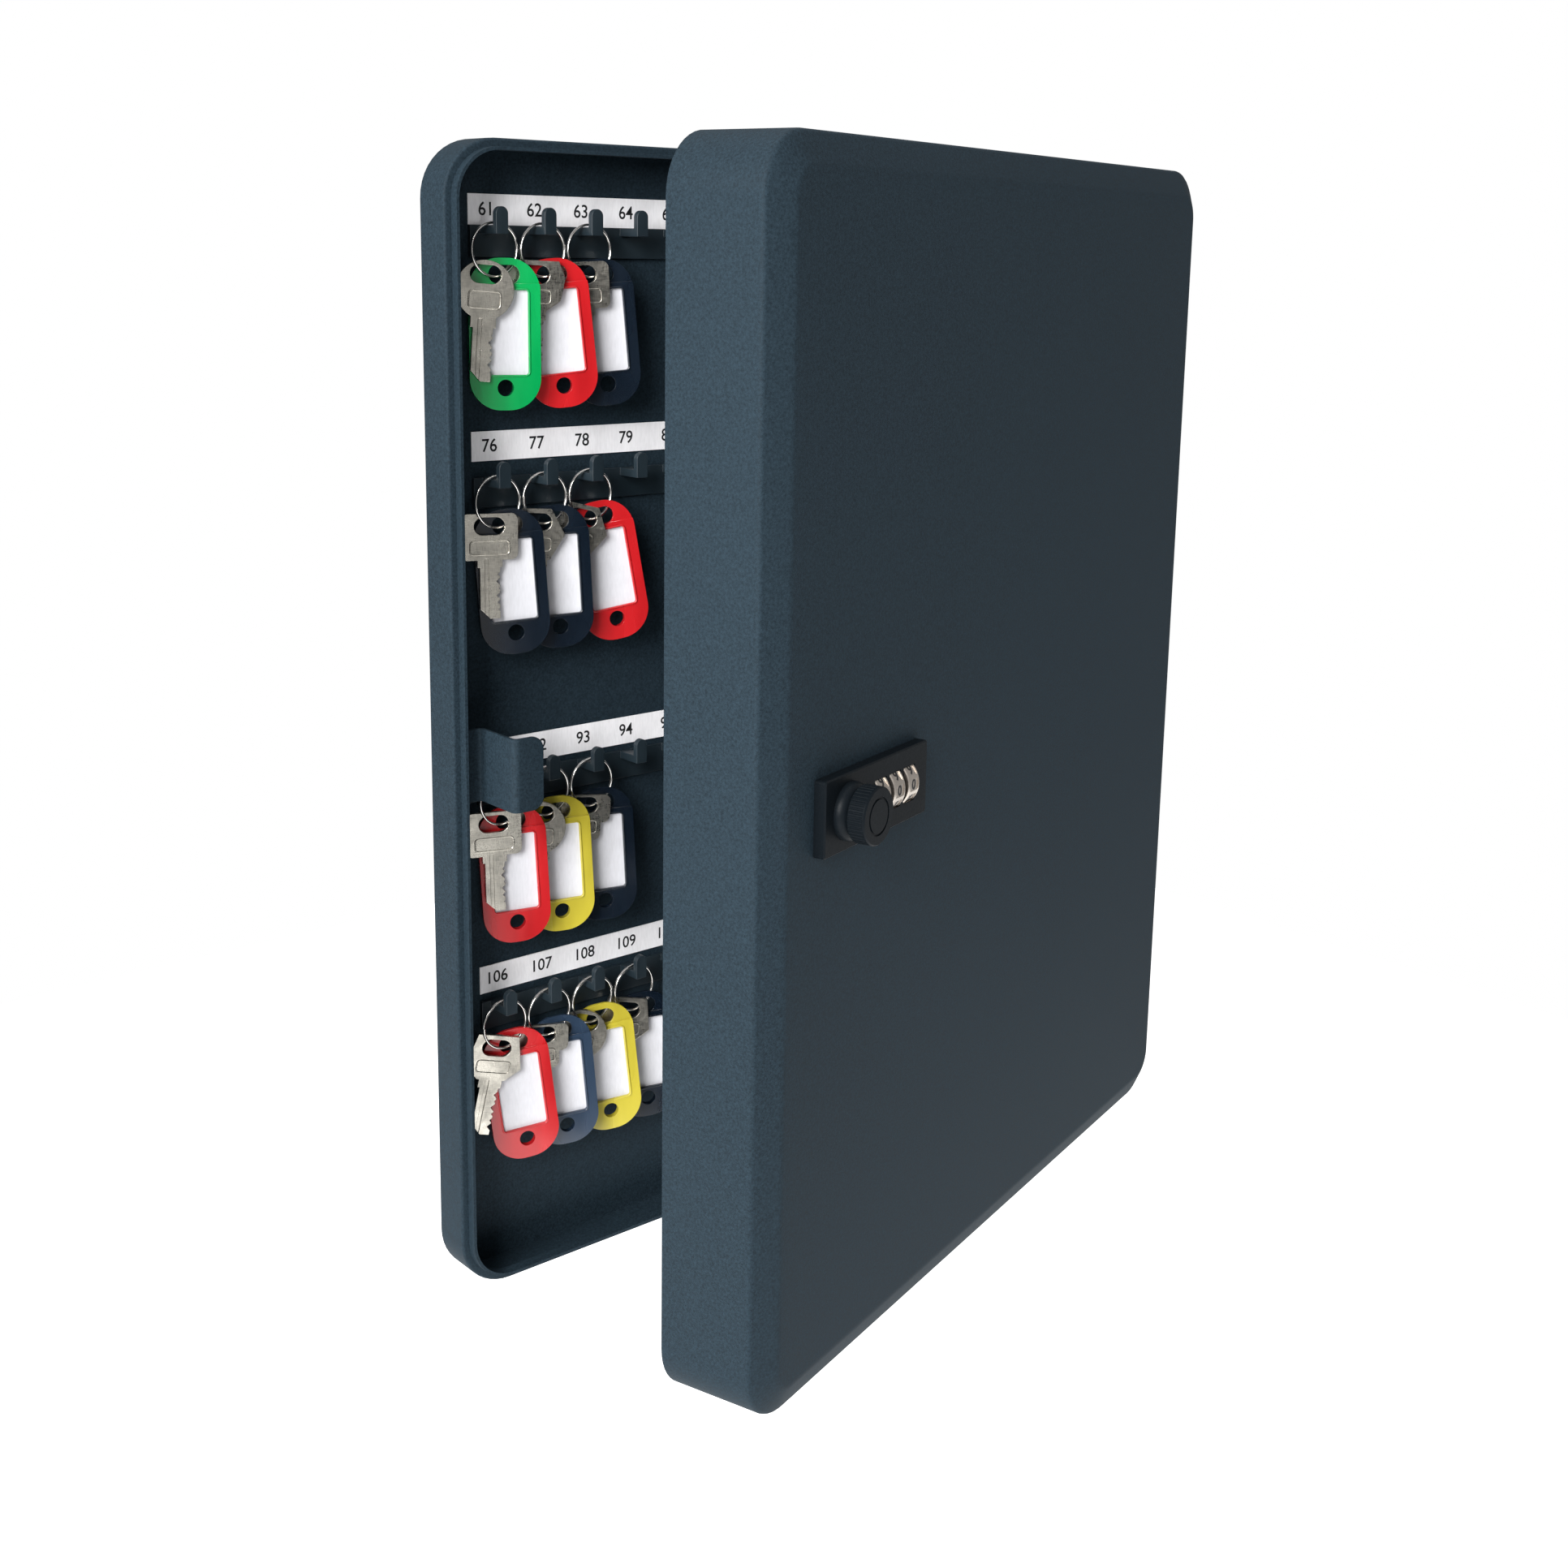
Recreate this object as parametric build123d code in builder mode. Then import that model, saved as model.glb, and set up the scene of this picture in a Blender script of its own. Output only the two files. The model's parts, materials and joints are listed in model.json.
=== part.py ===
"""Wall-hung key cabinet with a three-wheel combination knob lock.

Millimetres. +Z is up, the front faces -Y and the wall is the plane Y = 0. The origin is the middle of
the four wall holes. Door pieces are built with the door shut and turned about the hinge at the end.
"""
from build123d import *
import math
import os

# Case
WIDTH = 350.0
HEIGHT = 430.0
CORNER = 21.0
SHEET = 1.2
BODY_DEPTH = 17.0
DOOR_DEPTH = 41.0
SEAM = 1.0
TONGUE_INSET = 3.0
TONGUE_PROUD = 3.5
BACK_EDGE = 2.0
FACET_SIDE = 5.0
FACET_FRONT = 11.0
FACET_SIDE_ROUND = 2.2
FACET_FRONT_ROUND = 6.0

# Wall holes
WALL_PITCH_X = 200.0
WALL_PITCH_Z = 275.0
WALL_HOLE_R = 3.0

# Planes that the pieces meet on, with the door shut
PANEL_Y = -SHEET
RIM_Y = -BODY_DEPTH
DOOR_REAR_Y = RIM_Y - SEAM
DOOR_FRONT_Y = DOOR_REAR_Y - DOOR_DEPTH
DOOR_PANEL_Y = DOOR_FRONT_Y + SHEET
LEFT = -WIDTH / 2
RIGHT = WIDTH / 2

# Hinge
DOOR_ANGLE = 17.0
HINGE_X = RIGHT + 3.5
HINGE_Y = RIM_Y - SEAM / 2
HINGE_AXIS = Axis((HINGE_X, HINGE_Y, 0), (0, 0, 1))
BARREL_R = 3.0
PIN_R = 1.5
PIN_FIT = 0.05
LEAF_THICK = 1.5
LEAF_HEIGHT = 54.0
KNUCKLES = 3
KNUCKLE_GAP = 0.4
LEAF_REACH = 15.0
HINGE_Z = 150.0
RIVET_R = 1.6
RIVET_HEAD_R = 3.0
RIVET_HEAD = 1.0

# Hook strips
HOOKS = 15
HOOK_PITCH = 20.4
FIRST_HOOK_X = LEFT + 25.5
STRIP_MARGIN = 6.5
BAND_HEIGHT = 11.2
BAND_THICK = 1.6
STALK_THICK = 3.0
HOOK_WIDTH = 5.0
HOOK_REACH = 11.0
TIP_THICK = 2.4
TIP_HEIGHT = 9.5
LABEL_HEIGHT = 10.8
LABEL_THICK = 0.4
BODY_ROWS = (174.3, 84.5, -27.7, -117.0)
BODY_LABEL_LIFTS = (11.3, 17.0, 13.5, 14.2)
DOOR_ROWS = (174.3, 84.5, -43.0, -125.0)
DOOR_LABEL_LIFT = 13.0

# Latch bracket
BRACKET_THICK = 1.5
BRACKET_HEIGHT = 27.5
BRACKET_Z = -8.0
BRACKET_ARM_X = LEFT + 13.5
BRACKET_JOG_Y = -14.0
BRACKET_LIP_Y = -37.0
BRACKET_LIP = 12.0
BRACKET_ROUND = 5.0

# Lock
LOCK_Z = -3.5
PLATE_LEFT = LEFT + 27.0
PLATE_WIDTH = 69.5
PLATE_HEIGHT = 26.5
PLATE_THICK = 4.4
PLATE_Y = DOOR_FRONT_Y - PLATE_THICK
KNOB_X = LEFT + 42.5
DIAL_X = LEFT + 73.4
DIAL_PITCH = 10.0
DIAL_WIDTH = 7.4
DIAL_R = 9.0
DIAL_PROUD = 2.3
DIAL_Y = PLATE_Y - DIAL_PROUD + DIAL_R
DIGITS = 10
WINDOW_GAP = 0.35
AXLE_R = 1.5
HOUSING_LEFT = LEFT + 31.0
HOUSING_WIDTH = 62.0
HOUSING_HEIGHT = 22.5
HOUSING_REAR_Y = DIAL_Y + DIAL_R + 2.0
CHAMBER_WALL = 1.6
KNOB_R = 10.0
KNOB_THICK = 6.8
COLLAR_R = 10.2
COLLAR_TOP_R = 6.2
COLLAR_HEIGHT = 4.3
KNOB_GAP = 0.3
KNURLS = 44
SPINDLE_R = 3.5
SPINDLE_FIT = 0.08
CAM_Y = BRACKET_LIP_Y + BRACKET_THICK + 0.5
CAM_THICK = 2.0
CAM_LENGTH = 24.0
CAM_WIDTH = 10.0
RESET_TRAVEL = 3.0

# Key sets
RING_R = 9.4
WIRE_R = 0.55
RING_Y = -8.3
RING_REST = 0.05
RING_LIFT = BAND_HEIGHT + RING_REST - math.sqrt((RING_R - WIRE_R) ** 2 - (HOOK_WIDTH / 2) ** 2)
TAG_LENGTH = 54.0
TAG_WIDTH = 26.0
TAG_THICK = 2.6
TAG_EYE_THICK = 1.2
CARD_LENGTH = 30.0
CARD_WIDTH = 17.0
CARD_THICK = 0.5
KEY_THICK = 1.6
BLADE_WIDTH = 7.4
SET_YAW = -20.0
EYE_SHARE = 23.8

# Small sizes of the case pieces
RIM_ROUND = 1.0
RIVET_EDGE = 4.5
RIVET_END = 9.0
RIVET_FIT = 0.05
PIN_HEAD = 1.2
CUTOUT_GAP = 1.0
BRACKET_START_Y = -2.5
BRACKET_BEND = 2.0

# Small sizes of the lock pieces
DIALS = 3
DIAL_FIT = 0.06
DIAL_BEVEL = 0.4
POCKET_DEEP = 0.35
POCKET_LONG = 4.2
POCKET_WIDE = 5.4
PLATE_CORNER = 1.0
PLATE_BEVEL = 0.5
LOOSE = 0.5
AXLE_HOLD = 3.0
HOUSING_ROUND = 1.5
LOCK_SCREW_R = 1.45
LOCK_SCREW_BITE = 2.5
LOCK_SCREW_EDGE = 3.4
LOCK_SCREW_RISE = 6.8
LOCK_SCREW_HEAD_R = 2.6
LOCK_SCREW_HEAD = 1.6
DRIVE_LONG = 3.0
DRIVE_WIDE = 0.7
DRIVE_DEEP = 0.8
LEVER_X = DIAL_X - RESET_TRAVEL / 2
LEVER_STEM = 2.4
LEVER_DEPTH = 1.1
LEVER_CAP_GAP = 0.2
LEVER_CAP = 6.0
LEVER_CAP_THICK = 1.6
LEVER_ROUND = 1.0
COLLAR_FOOT = 0.8
KNOB_BEVEL = 0.5
KNURL_R = 0.45
KNURL_STOP = 0.9
KNOB_SOCKET = 4.0
FACE_RING_R = 6.6
FACE_RING_WIDE = 0.8
FACE_RING_DEEP = 0.4
CAM_SQUARE = 4.6
CAM_HUB_R = 6.5
CAM_TIP_ROUND = 3.0
CLIP_THICK = 0.8
CLIP_R_IN = 2.8
CLIP_R_OUT = 5.5
CAM_SCREW_R = 1.5
CAM_SCREW_BITE = 6.0
CAM_SCREW_HEAD_R = 4.2
CAM_SCREW_HEAD = 2.0

# Small sizes of the key sets
TAG_ROUND = 11.5
TAG_EYE_DROP = 5.8
TAG_HOLE_R = 3.0
TAG_HOLE_RISE = 8.0
CARD_DROP = -20.5
CARD_ROUND = 1.0
EYE_WIDE = 11.4
EYE_HIGH = 6.6
EYE_STEP = 9.0
SHOULDER = 3.2
SHOULDER_WIDE = 9.2
BLADE_LONG = 18.5
BLADE_OVERLAP = 0.5
KEY_CUTS = 6
CUT_PITCH = 2.6
CUT_DEEP = 1.35
GROOVE_WIDE = 1.4
GROOVE_DEEP = 0.35
GROOVE_ASIDE = 1.2
CUT_MEAN = 0.75
CUT_VARY = 0.35
CUT_STEP = 2.4
CUT_OUT = 0.3
TIP_CUT = BLADE_WIDTH * 0.7

# Key bows, drawn about the eye
BOW_ROUND = 2.5
SQUARE_BOW_WIDTH = 21.0
SQUARE_BOW_HEIGHT = 17.0
SQUARE_BOW_DROP = -3.9
HEXAGON_BOW_R = 11.0
HEXAGON_BOW_DROP = -4.6
STEPPED_BOW_WIDTH = 21.5
STEPPED_BOW_HEIGHT = 11.0
STEPPED_BOW_DROP = -1.5
STEPPED_NECK_WIDTH = 14.5
STEPPED_NECK_HEIGHT = 12.0
STEPPED_NECK_DROP = -8.0
ROUND_BOW_R = 10.5
ROUND_BOW_DROP = -5.5
ANGULAR_BOW = (
    (-10, -9),
    (-11.5, -1),
    (-9, 5),
    (9, 5),
    (11.5, -1),
    (10, -9),
    (4.5, -13),
    (-4.5, -13),
)
TRAPEZOID_BOW = ((-11, -8), (-8, 5), (8, 5), (11, -8), (5.5, -13), (-5.5, -13))

# Row, hook, tag colour, key bow, tag tilt and key tilt of each hanging set
KEY_SETS = (
    (0, 0, "green", "round", 0, -4),
    (0, 1, "red", "angular", 6, -2),
    (0, 2, "black", "square", 5, 3),
    (1, 0, "black", "square", 4, 0),
    (1, 1, "black", "hexagon", 3, -3),
    (1, 2, "red", "hexagon", 10, -14),
    (2, 0, "red", "square", 3, 1),
    (2, 1, "yellow", "round", 3, -3),
    (2, 2, "black", "stepped", 3, -4),
    (3, 0, "red", "trapezoid", 7, -12),
    (3, 1, "blue", "stepped", 5, -2),
    (3, 2, "yellow", "round", 6, -16),
    (3, 3, "black", "trapezoid", 4, -10),
)


def front_plane(y, x=0.0, z=0.0):
    """A plane parallel to the wall, seen from the front: local x is +X, local y is +Z."""
    return Plane(origin=(x, y, z), x_dir=(1, 0, 0), z_dir=(0, -1, 0))


def faceted_block(inset, rear_y):
    """The door's outer form made smaller by inset: rounded corners and a soft facet round the front."""
    depth = rear_y - DOOR_FRONT_Y - inset
    with BuildPart() as block:
        with BuildSketch(front_plane(rear_y)):
            RectangleRounded(WIDTH - 2 * inset, HEIGHT - 2 * inset, CORNER - inset)
        extrude(amount=depth)
        front = block.faces().sort_by(Axis.Y)[0]
        chamfer(front.edges(), FACET_FRONT, FACET_SIDE, reference=front)
        level = DOOR_FRONT_Y + inset
        side_loop = [e for e in block.edges() if abs(e.center().Y - level - FACET_SIDE) < 0.01]
        side_loop = [e for e in side_loop if e.bounding_box().size.Y < 0.01]
        fillet(side_loop, FACET_SIDE_ROUND)
        front_loop = block.faces().sort_by(Axis.Y)[0].edges()
        fillet(front_loop, FACET_FRONT_ROUND)
    return block.part


def build_back_tray():
    """Pressed back shell: panel, walls, inward shoulder, and the tongue that the door shuts over."""
    opening = TONGUE_INSET + SHEET
    with BuildPart() as tray:
        with BuildSketch(front_plane(0)):
            RectangleRounded(WIDTH, HEIGHT, CORNER)
        extrude(amount=BODY_DEPTH)
        fillet(tray.faces().sort_by(Axis.Y)[-1].edges(), BACK_EDGE)
        fillet(tray.faces().sort_by(Axis.Y)[0].edges(), RIM_ROUND)
        with BuildSketch(front_plane(RIM_Y)):
            RectangleRounded(WIDTH - 2 * TONGUE_INSET, HEIGHT - 2 * TONGUE_INSET, CORNER - TONGUE_INSET)
        extrude(amount=TONGUE_PROUD)
        with BuildSketch(front_plane(PANEL_Y)):
            RectangleRounded(WIDTH - 2 * SHEET, HEIGHT - 2 * SHEET, CORNER - SHEET)
        extrude(amount=BODY_DEPTH - 2 * SHEET, mode=Mode.SUBTRACT)
        with BuildSketch(front_plane(PANEL_Y)):
            RectangleRounded(WIDTH - 2 * opening, HEIGHT - 2 * opening, CORNER - opening)
        extrude(amount=BODY_DEPTH + TONGUE_PROUD, mode=Mode.SUBTRACT)
        with BuildSketch(front_plane(0)):
            with GridLocations(WALL_PITCH_X, WALL_PITCH_Z, 2, 2):
                Circle(WALL_HOLE_R)
        extrude(amount=SHEET, mode=Mode.SUBTRACT)
        with BuildSketch(side_plane(RIGHT)):
            with Locations(*rivet_places(1)):
                Circle(RIVET_R)
        extrude(amount=-2 * SHEET, mode=Mode.SUBTRACT)
    return tray.part


def build_door_tray():
    """Deep pressed door shell with the soft facet round its front and the cut-out for the lock."""
    outer = faceted_block(0, DOOR_REAR_Y)
    inner = faceted_block(SHEET, DOOR_REAR_Y)
    with BuildPart() as tray:
        add(outer)
        add(inner, mode=Mode.SUBTRACT)
        with BuildSketch(front_plane(DOOR_PANEL_Y, HOUSING_LEFT + HOUSING_WIDTH / 2, LOCK_Z)):
            Rectangle(HOUSING_WIDTH + CUTOUT_GAP, HOUSING_HEIGHT + CUTOUT_GAP)
        extrude(amount=SHEET, mode=Mode.SUBTRACT)
        with BuildSketch(side_plane(RIGHT)):
            with Locations(*rivet_places(-1)):
                Circle(RIVET_R)
        extrude(amount=-2 * SHEET, mode=Mode.SUBTRACT)
    return tray.part


def side_plane(x):
    """A plane parallel to the side walls, seen from the right: local x is +Y, local y is +Z."""
    return Plane(origin=(x, 0, 0), x_dir=(0, 1, 0), z_dir=(1, 0, 0))


def rivet_places(side):
    """Places on the side plane of the rivets of the leaves: side 1 is the case's, -1 the door's."""
    y = HINGE_Y + side * (LEAF_REACH - RIVET_EDGE)
    spread = LEAF_HEIGHT / 2 - RIVET_END
    return [(y, hinge + end * spread) for hinge in (-HINGE_Z, HINGE_Z) for end in (-1, 1)]


def build_hinge_leaves(side, owned, bore):
    """Leaf plates on the outside of the right wall with the knuckles numbered in owned."""
    knuckle = (LEAF_HEIGHT - (KNUCKLES - 1) * KNUCKLE_GAP) / KNUCKLES
    near = HINGE_Y + side * (BARREL_R + KNUCKLE_GAP)
    far = HINGE_Y + side * LEAF_REACH
    with BuildPart() as leaves:
        for hinge in (-HINGE_Z, HINGE_Z):
            with BuildSketch(side_plane(RIGHT)):
                with Locations(((near + far) / 2, hinge)):
                    Rectangle(abs(far - near), LEAF_HEIGHT)
            extrude(amount=LEAF_THICK)
            for number in owned:
                bottom = hinge - LEAF_HEIGHT / 2 + number * (knuckle + KNUCKLE_GAP)
                with BuildSketch(side_plane(RIGHT)):
                    with Locations(((HINGE_Y + far) / 2, bottom + knuckle / 2)):
                        Rectangle(abs(far - HINGE_Y), knuckle)
                extrude(amount=LEAF_THICK)
                with BuildSketch(Plane.XY.offset(bottom)):
                    with Locations((HINGE_X, HINGE_Y)):
                        Circle(BARREL_R)
                extrude(amount=knuckle)
            with BuildSketch(Plane.XY.offset(hinge - LEAF_HEIGHT / 2)):
                with Locations((HINGE_X, HINGE_Y)):
                    Circle(bore)
            extrude(amount=LEAF_HEIGHT, mode=Mode.SUBTRACT)
        with BuildSketch(side_plane(RIGHT)):
            with Locations(*rivet_places(side)):
                Circle(RIVET_R)
        extrude(amount=LEAF_THICK, mode=Mode.SUBTRACT)
    return leaves.part


def build_hinge_pins():
    """Hinge pins with a low head at each end."""
    with BuildPart() as pins:
        for hinge in (-HINGE_Z, HINGE_Z):
            bottom = hinge - LEAF_HEIGHT / 2
            with BuildSketch(Plane.XY.offset(bottom)):
                with Locations((HINGE_X, HINGE_Y)):
                    Circle(PIN_R)
            extrude(amount=LEAF_HEIGHT)
            for base in (bottom - PIN_HEAD, bottom + LEAF_HEIGHT):
                with BuildSketch(Plane.XY.offset(base)):
                    with Locations((HINGE_X, HINGE_Y)):
                        Circle(BARREL_R)
                extrude(amount=PIN_HEAD)
    return pins.part


def build_hinge_rivets(side):
    """Rivets through the leaves and the wall, with a head on each face."""
    grip = LEAF_THICK + SHEET
    with BuildPart() as rivets:
        with BuildSketch(side_plane(RIGHT - SHEET)):
            with Locations(*rivet_places(side)):
                Circle(RIVET_R - RIVET_FIT)
        extrude(amount=grip)
        for face in (RIGHT - SHEET - RIVET_HEAD, RIGHT + LEAF_THICK):
            with BuildSketch(side_plane(face)):
                with Locations(*rivet_places(side)):
                    Circle(RIVET_HEAD_R)
            extrude(amount=RIVET_HEAD)
        fillet(rivets.faces().sort_by(Axis.X)[-1].edges(), RIVET_HEAD / 2)
    return rivets.part


def build_latch_bracket():
    """Bent strip: flange on the left wall, jog, arm that stands out of the rim, and the lip."""
    half = BRACKET_THICK / 2
    wall = LEFT + SHEET + half
    lip_end = BRACKET_ARM_X + BRACKET_LIP
    with BuildPart() as bracket:
        with BuildSketch(Plane.XY.offset(BRACKET_Z - BRACKET_HEIGHT / 2)):
            with BuildLine():
                FilletPolyline(
                    (wall, BRACKET_START_Y),
                    (wall, BRACKET_JOG_Y),
                    (BRACKET_ARM_X, BRACKET_JOG_Y),
                    (BRACKET_ARM_X, BRACKET_LIP_Y + half),
                    (lip_end, BRACKET_LIP_Y + half),
                    radius=BRACKET_BEND,
                )
            trace(line_width=BRACKET_THICK)
        extrude(amount=BRACKET_HEIGHT)
        lip_edges = bracket.edges().filter_by(Axis.Y).group_by(Axis.X)[-1]
        fillet(lip_edges, BRACKET_ROUND)
    return bracket.part


def hook_x(index):
    """Middle of a hook, counted from the left."""
    return FIRST_HOOK_X + index * HOOK_PITCH


def build_hook_strip(row, panel_y, facing):
    """Moulded band with its hooks. Facing -1 stands out towards the front, 1 towards the wall."""
    left = FIRST_HOOK_X - STRIP_MARGIN
    width = (HOOKS - 1) * HOOK_PITCH + 2 * STRIP_MARGIN
    places = [(hook_x(index) - left - width / 2, 0) for index in range(HOOKS)]
    band = Plane(origin=(left + width / 2, panel_y, row), x_dir=(1, 0, 0), z_dir=(0, 0, 1))
    reach = BAND_THICK + HOOK_REACH
    with BuildPart() as strip:
        with BuildSketch(band):
            with Locations((0, facing * BAND_THICK / 2)):
                Rectangle(width, BAND_THICK)
        extrude(amount=BAND_HEIGHT)
        with BuildSketch(band.offset(BAND_HEIGHT - STALK_THICK)):
            with Locations(*places):
                with Locations((0, facing * (BAND_THICK + reach) / 2)):
                    Rectangle(HOOK_WIDTH, HOOK_REACH)
        extrude(amount=STALK_THICK)
        tip_y = panel_y + facing * (reach - TIP_THICK)
        with BuildSketch(front_plane(tip_y, left + width / 2, row + BAND_HEIGHT - STALK_THICK)):
            with Locations(*places):
                with Locations((0, TIP_HEIGHT / 2 - HOOK_WIDTH / 4)):
                    Rectangle(HOOK_WIDTH, TIP_HEIGHT - HOOK_WIDTH / 2)
                with Locations((0, TIP_HEIGHT - HOOK_WIDTH / 2)):
                    Circle(HOOK_WIDTH / 2)
        extrude(amount=-facing * TIP_THICK)
    return strip.part


def build_label(row, lift, panel_y, facing):
    """Number label stuck on the panel above a hook strip."""
    left = FIRST_HOOK_X - STRIP_MARGIN
    width = (HOOKS - 1) * HOOK_PITCH + 2 * STRIP_MARGIN
    with BuildPart() as label:
        with BuildSketch(front_plane(panel_y, left + width / 2, row + lift + LABEL_HEIGHT / 2)):
            Rectangle(width, LABEL_HEIGHT)
        extrude(amount=-facing * LABEL_THICK)
    return label.part


def dial_x(index):
    """Middle of a dial wheel, counted from the left."""
    return DIAL_X + (index - 1) * DIAL_PITCH


def build_lock_plate():
    """Front plate of the lock with a curved window for each wheel and the knob's hole."""
    middle = PLATE_LEFT + PLATE_WIDTH / 2
    with BuildPart() as plate:
        with BuildSketch(front_plane(DOOR_FRONT_Y, middle, LOCK_Z)):
            RectangleRounded(PLATE_WIDTH, PLATE_HEIGHT, PLATE_CORNER)
        extrude(amount=PLATE_THICK)
        chamfer(plate.faces().sort_by(Axis.Y)[0].edges(), PLATE_BEVEL)
        for index in range(DIALS):
            with BuildSketch(wheel_plane(index)):
                Circle(DIAL_R + WINDOW_GAP)
            extrude(amount=DIAL_WIDTH / 2 + WINDOW_GAP, both=True, mode=Mode.SUBTRACT)
        with BuildSketch(front_plane(DOOR_FRONT_Y, 0, 0)):
            with Locations((KNOB_X, LOCK_Z)):
                Circle(SPINDLE_R + LOOSE)
        extrude(amount=PLATE_THICK, mode=Mode.SUBTRACT)
        with BuildSketch(front_plane(DOOR_FRONT_Y, 0, 0)):
            with Locations(*lock_screw_places()):
                Circle(LOCK_SCREW_R)
        extrude(amount=LOCK_SCREW_BITE, mode=Mode.SUBTRACT)
    return plate.part


def wheel_plane(index):
    """Plane across a dial wheel's axle at the wheel's middle."""
    return Plane(origin=(dial_x(index), DIAL_Y, LOCK_Z), x_dir=(0, 1, 0), z_dir=(1, 0, 0))


def lock_screw_places():
    """Places on a front plane of the screws that join the housing to the plate."""
    left = HOUSING_LEFT + LOCK_SCREW_EDGE
    right = HOUSING_LEFT + HOUSING_WIDTH - LOCK_SCREW_EDGE
    return [(x, LOCK_Z + z) for x in (left, right) for z in (-LOCK_SCREW_RISE, LOCK_SCREW_RISE)]


def build_lock_housing():
    """Block behind the plate with the wheel chamber, the axle's holes and the spindle's bore."""
    middle = HOUSING_LEFT + HOUSING_WIDTH / 2
    chamber = (DIALS - 1) * DIAL_PITCH + DIAL_WIDTH + 2 * WINDOW_GAP
    depth = HOUSING_REAR_Y - DOOR_FRONT_Y
    with BuildPart() as housing:
        with BuildSketch(front_plane(HOUSING_REAR_Y, middle, LOCK_Z)):
            Rectangle(HOUSING_WIDTH, HOUSING_HEIGHT)
        extrude(amount=depth)
        fillet(housing.edges().filter_by(Axis.Y), HOUSING_ROUND)
        with BuildSketch(front_plane(HOUSING_REAR_Y - CHAMBER_WALL, DIAL_X, LOCK_Z)):
            Rectangle(chamber, 2 * (DIAL_R + WINDOW_GAP))
        extrude(amount=depth, mode=Mode.SUBTRACT)
        with BuildSketch(wheel_plane(1)):
            Circle(AXLE_R)
        extrude(amount=chamber / 2 + AXLE_HOLD, both=True, mode=Mode.SUBTRACT)
        with BuildSketch(front_plane(HOUSING_REAR_Y, KNOB_X, LOCK_Z)):
            Circle(SPINDLE_R + SPINDLE_FIT)
        extrude(amount=depth, mode=Mode.SUBTRACT)
        with BuildSketch(front_plane(HOUSING_REAR_Y, 0, 0)):
            with Locations(*lock_screw_places()):
                Circle(LOCK_SCREW_R + LOOSE / 2)
        extrude(amount=depth, mode=Mode.SUBTRACT)
        with BuildSketch(front_plane(HOUSING_REAR_Y, LEVER_X + RESET_TRAVEL / 2, LOCK_Z)):
            Rectangle(LEVER_STEM + RESET_TRAVEL + LOOSE, LEVER_STEM + LOOSE)
        extrude(amount=LEVER_DEPTH + LOOSE / 2, mode=Mode.SUBTRACT)
    return housing.part


def build_code_lever():
    """Slide on the back of the housing that is pushed over to set a new code."""
    with BuildPart() as lever:
        with BuildSketch(front_plane(HOUSING_REAR_Y, LEVER_X, LOCK_Z)):
            Rectangle(LEVER_STEM, LEVER_STEM)
        extrude(amount=LEVER_DEPTH)
        with BuildSketch(front_plane(HOUSING_REAR_Y + LEVER_CAP_GAP, LEVER_X, LOCK_Z)):
            Rectangle(LEVER_STEM, LEVER_STEM)
        extrude(amount=LEVER_CAP_GAP)
        with BuildSketch(front_plane(HOUSING_REAR_Y + LEVER_CAP_GAP, LEVER_X, LOCK_Z)):
            RectangleRounded(LEVER_CAP, LEVER_CAP, LEVER_ROUND)
        extrude(amount=-LEVER_CAP_THICK)
    return lever.part


def build_lock_screws():
    """Screws that pull the housing up to the plate from inside the door."""
    with BuildPart() as screws:
        with BuildSketch(front_plane(HOUSING_REAR_Y, 0, 0)):
            with Locations(*lock_screw_places()):
                Circle(LOCK_SCREW_R)
        extrude(amount=HOUSING_REAR_Y - DOOR_FRONT_Y + LOCK_SCREW_BITE)
        with BuildSketch(front_plane(HOUSING_REAR_Y, 0, 0)):
            with Locations(*lock_screw_places()):
                Circle(LOCK_SCREW_HEAD_R)
        extrude(amount=-LOCK_SCREW_HEAD)
        fillet(screws.faces().sort_by(Axis.Y)[-4:].edges(), LOCK_SCREW_HEAD / 3)
        with BuildSketch(front_plane(HOUSING_REAR_Y + LOCK_SCREW_HEAD, 0, 0)):
            with Locations(*lock_screw_places()):
                Rectangle(DRIVE_LONG, DRIVE_WIDE)
                Rectangle(DRIVE_WIDE, DRIVE_LONG)
        extrude(amount=DRIVE_DEEP, mode=Mode.SUBTRACT)
    return screws.part


def build_dial_axle():
    """Axle that the three wheels turn on."""
    chamber = (DIALS - 1) * DIAL_PITCH + DIAL_WIDTH + 2 * WINDOW_GAP
    with BuildPart() as axle:
        with BuildSketch(wheel_plane(1)):
            Circle(AXLE_R)
        extrude(amount=chamber / 2 + AXLE_HOLD, both=True)
    return axle.part


def build_dial_wheel(index):
    """Numbered wheel: a pocket for each digit round its rim, and a running bore."""
    with BuildPart() as wheel:
        with BuildSketch(wheel_plane(index)):
            Circle(DIAL_R)
            Circle(AXLE_R + DIAL_FIT, mode=Mode.SUBTRACT)
        extrude(amount=DIAL_WIDTH / 2, both=True)
        chamfer(wheel.edges().filter_by(GeomType.CIRCLE).group_by(Edge.length)[-1], DIAL_BEVEL)
        with BuildSketch(wheel_plane(index)):
            with PolarLocations(DIAL_R, DIGITS):
                Rectangle(2 * POCKET_DEEP, POCKET_LONG)
        extrude(amount=POCKET_WIDE / 2, both=True, mode=Mode.SUBTRACT)
    return wheel.part


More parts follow.
